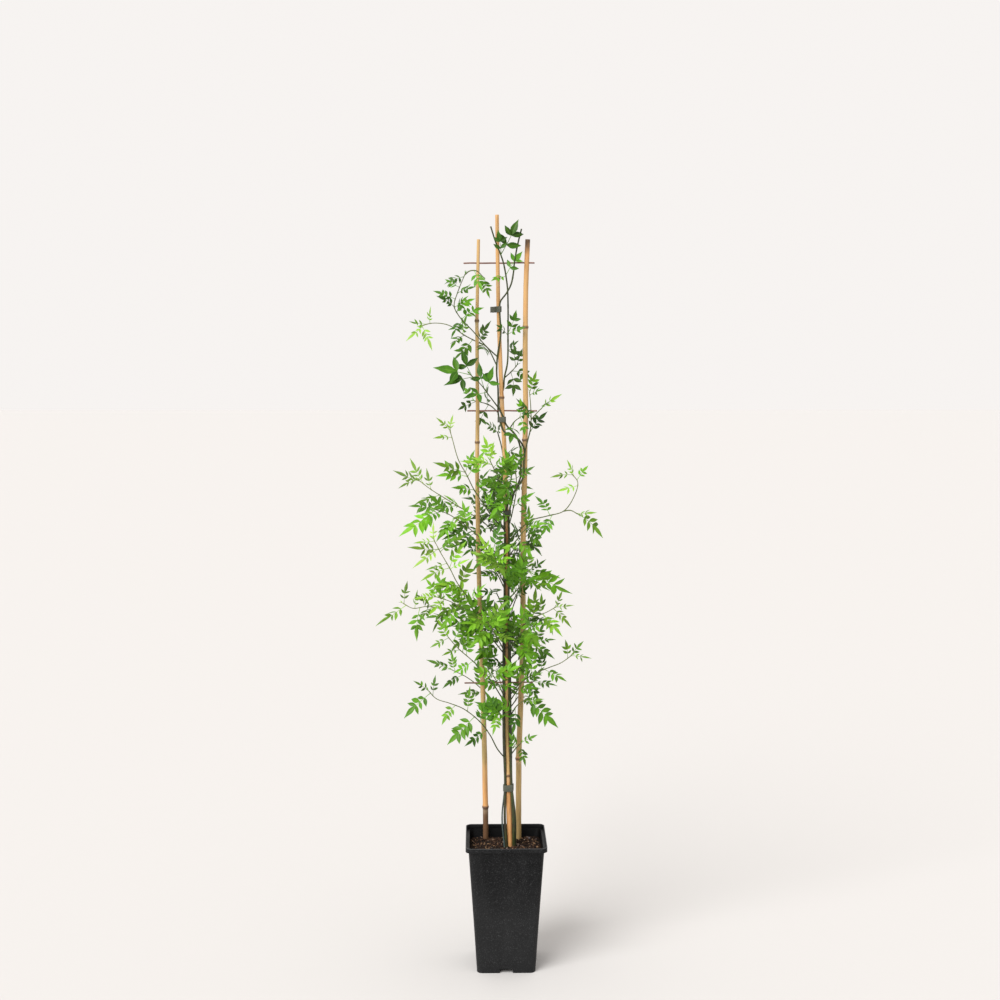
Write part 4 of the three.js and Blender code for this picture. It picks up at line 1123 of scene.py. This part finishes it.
# a second limb starts part of the way along the first
sideLimbs = {
    "shoot_left_1": (0.99, [(-62, -4, 1223), (-50, -2, 1223), (-39, 0, 1213)]),
    "shoot_right_1": (0.56, [(54, 10, 980), (63, 8, 989)]),
    "shoot_right_4": (0.61, [(112, -13, 812), (124, -16, 806)]),
}
leafShape = {
    "rows": [(0, 0.06), (0.1, 0.4), (0.27, 0.86), (0.45, 1.0), (0.65, 0.8), (0.84, 0.36), (1, 0.01)],
    "endRows": [(0, 0.06), (0.1, 0.34), (0.25, 0.78), (0.42, 1.0), (0.62, 0.76), (0.82, 0.31), (1, 0.01)],
    "fold": 0.32,  # how far each half is raised from the midrib, of the leaflet's width
    "curl": 0.3,  # how far the tip bends down, of the width
    "thick": 0.035,
}

# pairs: places of the side leaflets along the stalk, by the leaf's length in mm
# side: length of a side leaflet, of the leaf; wide and endWide: widths, of the leaflet's length
leafKinds = {
    "usual": {
        "pairs": {0: (0.27, 0.47), 38: (0.21, 0.36, 0.51), 68: (0.19, 0.31, 0.43, 0.55)},
        "side": (0.23, 0.3), "wide": (0.38, 0.48), "endWide": (0.24, 0.31), "angle": (46, 66),
    },
    "broad": {
        "pairs": {0: (0.3, 0.56), 70: (0.26, 0.43, 0.6)},
        "side": (0.28, 0.35), "wide": (0.42, 0.5), "endWide": (0.38, 0.44), "angle": (50, 70),
    },
    "large": {
        "pairs": {0: (0.36,)},
        "side": (0.37, 0.44), "wide": (0.38, 0.45), "endWide": (0.34, 0.4), "angle": (62, 80),
    },
    "narrow": {
        "pairs": {0: (0.22, 0.42), 44: (0.18, 0.31, 0.45)},
        "side": (0.2, 0.26), "wide": (0.3, 0.4), "endWide": (0.19, 0.25), "angle": (40, 60),
    },
}
# kinds that aren't usual all over; elsewhere the youngest leaves are narrow
leafKindOn = {
    "main_stem_1": "broad", "shoot_left_4": "broad", "shoot_right_2": "broad",
    "shoot_right_3": "broad", "shoot_left_3": "large",
}

# lengths are shares of the leaf's length, angles in radians
leafPose = {
    "arch": (0.03, 0.1),
    "bend": 0.05,
    "vary": (0.2, 0.8),
    "stalk": (0.35, 0.006),  # half thickness in mm, and what it gains for each mm of leaf
    "taper": 0.13,
    "lift": (-0.3, 0.25),
    "roll": 0.3,
    "uneven": 0.012,  # how far two leaflets of a pair may stand apart along the stalk
    "endRoll": 0.2,
    "endLift": 0.12,
}


def greenColour():
    material, tree, shader = newMaterial("green_shoot", 0.45, 0.25)
    streak = noiseOf(tree, 1, 3, 0.6, (500, 500, 60))
    old = rampOf(tree, streak, [(0.3, (0.012, 0.022, 0.008)), (0.7, (0.045, 0.07, 0.022))])
    young = rampOf(tree, streak, [(0.3, (0.13, 0.17, 0.045)), (0.7, (0.26, 0.29, 0.10))])
    link(tree, colourMix(tree, attributeOf(tree, "youth"), old, young), shader, "Base Color")
    bumpFrom(tree, shader, streak, 0.3, 0.0002)
    return material


def leafColour():
    material, tree, shader = newMaterial("jasmine_leaf", 0.5, 0.22)
    youth = attributeOf(tree, "youth")
    patch = noiseOf(tree, 60, 2)
    shifted = calculated(tree, "ADD", youth, ranged(tree, patch, 0.25, 0.75, -0.08, 0.08))
    plain = rampOf(tree, shifted, [
        (0.0, (0.012, 0.042, 0.005)), (0.3, (0.048, 0.145, 0.010)), (0.55, (0.128, 0.315, 0.014)),
        (0.8, (0.22, 0.40, 0.030)), (1.0, (0.31, 0.46, 0.09)),
    ])
    shades = ranged(tree, attributeOf(tree, "vary"), 0, 1, 0.32, 1.9)
    varied = addNode(tree, "HueSaturation", {"Value": shades, "Color": plain}).outputs[0]
    spread = addNode(tree, "UVMap", {}, uv_map="UVMap").outputs[0]
    across = addNode(tree, "SeparateXYZ", {0: spread}).outputs[0]
    off = calculated(tree, "ABSOLUTE", calculated(tree, "SUBTRACT", across, 0.5))
    rib = ranged(tree, off, 0.015, 0.06, 0.35, 0.0)
    ribbed = colourMix(tree, rib, varied, (0.24, 0.40, 0.07))
    under = ranged(tree, attributeOf(tree, "under"), 0.4, 0.9, 0, 0.45)
    colour = colourMix(tree, under, ribbed, (0.16, 0.30, 0.07))
    link(tree, colour, shader, "Base Color")
    link(tree, ranged(tree, youth, 0, 1, 0.3, 0.45), shader, "Roughness")
    bumpFrom(tree, shader, noiseOf(tree, 900, 2), 0.15, 0.0003)
    bright = addNode(tree, "HueSaturation", {"Value": 1.5, "Saturation": 1.05, "Color": colour})
    through = addNode(tree, "BsdfTranslucent", {"Color": bright.outputs[0]})
    mixed = addNode(tree, "MixShader", {0: 0.3, 1: shader.outputs[0], 2: through.outputs[0]})
    tree.links.new(mixed.outputs[0], tree.nodes["Material Output"].inputs["Surface"])
    return material


# One leaflet of length 1 along Y and width 1, thin and closed, modelled once and copied
def makeLeaflet(rows):
    s = leafShape
    leaflet = addShape(bpy.ops.mesh.primitive_grid_add, x_subdivisions=4, y_subdivisions=6, size=1)
    for vertex in leaflet.data.vertices:
        row = round((vertex.co.y + 0.5) * 6)
        place, width = rows[row]
        x = vertex.co.x * width
        vertex.co = (x, place, s["fold"] * abs(x) - s["curl"] * place ** 2.2)
    startEdit(leaflet)
    pickAll()
    bpy.ops.mesh.duplicate()
    bpy.ops.mesh.flip_normals()
    endEdit()
    half = len(leaflet.data.vertices) // 2
    under = leaflet.data.attributes.new("under", "FLOAT", "POINT")
    for k, vertex in enumerate(leaflet.data.vertices):
        row, column = (k % half) // 5, k % half % 5
        inside = 0 < row < 6 and 0 < column < 4
        under.data[k].value = 0.5 if not inside else float(k >= half)
        if inside and k >= half:
            vertex.co.z -= s["thick"]
    for name in ("youth", "vary"):
        leaflet.data.attributes.new(name, "FLOAT", "POINT")
    startEdit(leaflet)
    pickAll()
    bpy.ops.mesh.remove_doubles(threshold=0.0001)
    endOutward()
    smoothShade(leaflet, 50)
    return leaflet


# A short bit of stalk of length 1 along Y
def makeStalk():
    stalk = makeTube([Vector((0, k / 3, 0)) for k in range(4)], [1, 0.85, 0.75, 0.6], 6)
    stalk.data.uv_layers.new(name="UVMap")
    for name in ("under", "youth", "vary"):
        stalk.data.attributes.new(name, "FLOAT", "POINT")
    smoothShade(stalk, 60)
    return stalk


sideLeaflet = makeLeaflet(leafShape["rows"])
endLeaflet = makeLeaflet(leafShape["endRows"])
stalkBit = makeStalk()


# Reads where the CAD has its leaves: each is a flat star with its tip, middle and two short ribs
def readLeaves(node):
    places, number, index = [], {}, []
    for vertex in node.data.vertices:
        key = tuple(round(value * 1e6) for value in vertex.co)
        if key not in number:
            number[key] = len(places)
            places.append(vertex.co.copy())
        index.append(number[key])
    near = [set() for _ in places]
    for face in node.data.polygons:
        corners = {index[k] for k in face.vertices}
        for corner in corners:
            near[corner] |= corners - {corner}
    leaves = []
    for tip, around in zip(places, near):
        if len(around) == 4:
            leaves += starAt(tip, [places[k] for k in sorted(around)])
    return leaves


def starAt(tip, around):
    for a in range(4):
        for b in range(a + 1, 4):
            rib = around[a] - around[b]
            left, right = (around[k] for k in range(4) if k not in (a, b))
            middle, spread = (around[a] + around[b]) / 2, (left + right) / 2
            if abs(rib.length - 1.4 * mm) > 0.02 * mm or (tip - middle).length < mm:
                continue
            share = (tip - spread).length / (tip - middle).length
            if abs(share - 0.3 / 0.52) > 0.01:
                continue
            base = tip + (spread - tip) / 0.3
            outward = Vector((math.copysign(0.25, base.x), -0.8 if base.y < 30 * mm else 0.8, 0.6))
            facing = rib.normalized() * (1 if rib.dot(outward) > 0 else -1)
            return [{"base": base, "tip": tip, "facing": facing}]
    return []


# Frame with its Y along a direction and its Z near another
def frameAlong(origin, along, up):
    y = along.normalized()
    x = y.cross(up).normalized()
    z = x.cross(y)
    return Matrix.Translation(origin) @ Matrix((x, y, z)).transposed().to_4x4()


def addPart(mesh, shape, matrix, youth, vary):
    youthLayer, varyLayer = mesh.verts.layers.float["youth"], mesh.verts.layers.float["vary"]
    for vertex in addCopy(mesh, shape, matrix):
        vertex[youthLayer] = youth
        vertex[varyLayer] = vary


# One compound leaf: an arched stalk, pairs of side leaflets and a longer one at the end
def growLeaf(mesh, base, tip, facing, youth, kind):
    s, pose = leafKinds[kind], leafPose
    length = (tip - base).length
    whole = frameAlong(base, tip - base, facing)
    arch = draw.uniform(*pose["arch"]) * length
    bend = draw.uniform(-pose["bend"], pose["bend"]) * length
    vary = draw.uniform(*pose["vary"])

    def stalkAt(share):
        rise = 4 * share * (1 - share)
        return whole @ Vector((bend * rise, share * length, arch * rise))

    pairs = s["pairs"][max(key for key in s["pairs"] if key * mm <= length)]
    joins = [0.0, *pairs]
    thick = (pose["stalk"][0] + pose["stalk"][1] * length / mm) * mm
    up = whole.to_3x3() @ Vector((0, 0, 1))
    for k, (a, b) in enumerate(zip(joins, joins[1:])):
        start, end = stalkAt(a), stalkAt(b)
        size = thick * (1 - pose["taper"] * k)
        shape = Matrix.Diagonal((size, (end - start).length * 1.04, size, 1))
        place = frameAlong(start, end - start, up) @ shape
        addPart(mesh, stalkBit, place, min(1, youth + 0.15), vary)
    for share in pairs:
        along = stalkAt(share + 0.05) - stalkAt(share)
        for side in (-1, 1):
            size = length * draw.uniform(*s["side"]) * (1.1 - 0.35 * abs(share - 0.4))
            wide = size * draw.uniform(*s["wide"])
            turn = math.radians(draw.uniform(*s["angle"])) * -side
            lie = turned(turn, draw.uniform(*pose["lift"]), draw.gauss(0, pose["roll"]))
            foot = stalkAt(share + draw.uniform(-pose["uneven"], pose["uneven"]))
            place = frameAlong(foot, along, up) @ lie @ Matrix.Diagonal((wide, size, wide, 1))
            addPart(mesh, sideLeaflet, place, youth + draw.gauss(0, 0.03), vary + draw.uniform(-0.2, 0.2))
    start = stalkAt(pairs[-1])
    size = (tip - start).length * 0.985
    wide = size * draw.uniform(*s["endWide"])
    place = frameAlong(start, tip - start, up) @ turned(0, 0, draw.gauss(0, pose["endRoll"]))
    place = place @ turned(0, pose["endLift"], 0) @ Matrix.Diagonal((wide, size, wide * 0.8, 1))
    addPart(mesh, endLeaflet, place, youth + 0.03, vary)


# Two small folded leaflets at the growing tip
def growBud(mesh, tip, along, youth):
    for side in (-1, 1):
        place = frameAlong(tip, along, Vector((0.3 * side, -0.5, 1))) @ turned(side * 0.35, 0, side * 0.9)
        size = draw.uniform(6, 10) * mm
        addPart(mesh, endLeaflet, place @ Matrix.Diagonal((0.3 * size, size, 0.3 * size, 1)), youth, 0.6)


# The leaves of one stem or shoot, on its limbs, as one piece
def growLeaves(name, limbs, youths, material, buds):
    mesh = bmesh.new()
    for layer in ("youth", "vary", "under"):
        mesh.verts.layers.float.new(layer)
    mesh.loops.layers.uv.new("UVMap")
    joins = [[] for _ in limbs]
    for leaf in readLeaves(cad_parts[name]):
        found = [nearestOn(limb, leaf["base"]) for limb in limbs]
        k = min(range(len(limbs)), key=lambda n: found[n][0])
        _, base, share = found[k]
        joins[k].append(base)
        youth = between(*youths, share ** 1.5) + draw.gauss(0, 0.09)
        kind = leafKindOn.get(name, "narrow" if youth > 0.7 else "usual")
        growLeaf(mesh, base, leaf["tip"], leaf["facing"], youth, kind)
    for limb in limbs[:buds]:
        growBud(mesh, limb[-1], limb[-1] - limb[-2], min(1, youths[1] + 0.1))
    if not mesh.verts:
        mesh.free()
        return joins
    piece = meshPiece(mesh, "leaves")
    finishPiece(piece, "leaves_on_" + name.replace("main_", ""), material, "leaf", name)
    return joins


def limbLine(start, points):
    return smoothLine([start, *(Vector(point) * mm for point in points)])


def growShoot(name, route, greenMaterial, leafMaterial):
    stem, height, youths, points = route
    start = pointAtHeight(stemLines[f"main_stem_{stem}"], height * mm)
    limbs = [limbLine(start, points)]
    if name in sideLimbs:
        share, points = sideLimbs[name]
        limbs.append(limbLine(pointAlong(limbs[0], share), points))
    joins = growLeaves(name, limbs, youths, leafMaterial, len(limbs))
    tubes = []
    for limb, knots in zip(limbs, joins):
        radii = []
        for k, spot in enumerate(limb):
            swell = sum(math.exp(-((spot - knot).length / (1.8 * mm)) ** 2) for knot in knots)
            radii.append(between(1.2, 0.65, k / (len(limb) - 1)) * (1 + 0.35 * min(1, swell)) * mm)
        tubes.append(makeTube(limb, radii, 8))
    only(tubes[0])
    for tube in tubes:
        tube.select_set(True)
    if len(tubes) > 1:
        bpy.ops.object.join()
    foot, tip = limbs[0][0], limbs[0][-1]
    reach = (tip - foot).length
    paintPoints(tubes[0], "youth", lambda spot: between(
        0.1, youths[1], min(1, (spot - foot).length / reach) ** 1.3))
    smoothShade(tubes[0], 60)
    finishPiece(tubes[0], "green_" + name, greenMaterial, "green_shoot", name)
    return sum(len(knots) for knots in joins)


green = greenColour()
leafGreen = leafColour()
leafCount = 0
for side, routes in shootRoutes.items():
    for number, route in enumerate(routes, 1):
        leafCount += growShoot(f"shoot_{side}_{number}", route, green, leafGreen)
for stemName, line in stemLines.items():
    leafCount += len(growLeaves(stemName, [line], (0.15, 0.3), leafGreen, 0)[0])
for shape in (sideLeaflet, endLeaflet, stalkBit):
    bpy.data.objects.remove(shape)
print("shoots made, with", leafCount, "leaves")


# Studio: a plain pale floor, one broad soft light from the front left and a pale room around

studioSet = {
    "floorColour": (0.60, 0.585, 0.57, 1),
    "roomColour": (0.93, 0.90, 0.88, 1),
    "roomLight": 1.0,
    "lampDirection": (2, 2.6, -2.6),
    "lampLight": 3.2,
    "lampSpread": 40,
}


def makeStudio():
    material, tree, shader = newMaterial("pale_floor", 0.9, 0.1)
    shader.inputs["Base Color"].default_value = studioSet["floorColour"]
    floor = addShape(bpy.ops.mesh.primitive_plane_add, size=60)
    floor.name = "studio_floor"
    floor.data.materials.append(material)
    scene = bpy.context.scene
    scene.world = bpy.data.worlds.new("studio")
    scene.world.use_nodes = True
    sky = scene.world.node_tree.nodes["Background"]
    sky.inputs["Color"].default_value = studioSet["roomColour"]
    sky.inputs["Strength"].default_value = studioSet["roomLight"]
    scene.view_settings.view_transform = "Standard"
    bpy.ops.object.light_add(type="SUN", location=(-2, -2.5, 3))
    lamp = bpy.context.object
    lamp.name = "soft_key_light"
    lamp.rotation_euler = Vector(studioSet["lampDirection"]).to_track_quat("-Z", "Y").to_euler()
    lamp.data.energy = studioSet["lampLight"]
    lamp.data.angle = math.radians(studioSet["lampSpread"])


makeStudio()
print("studio made")
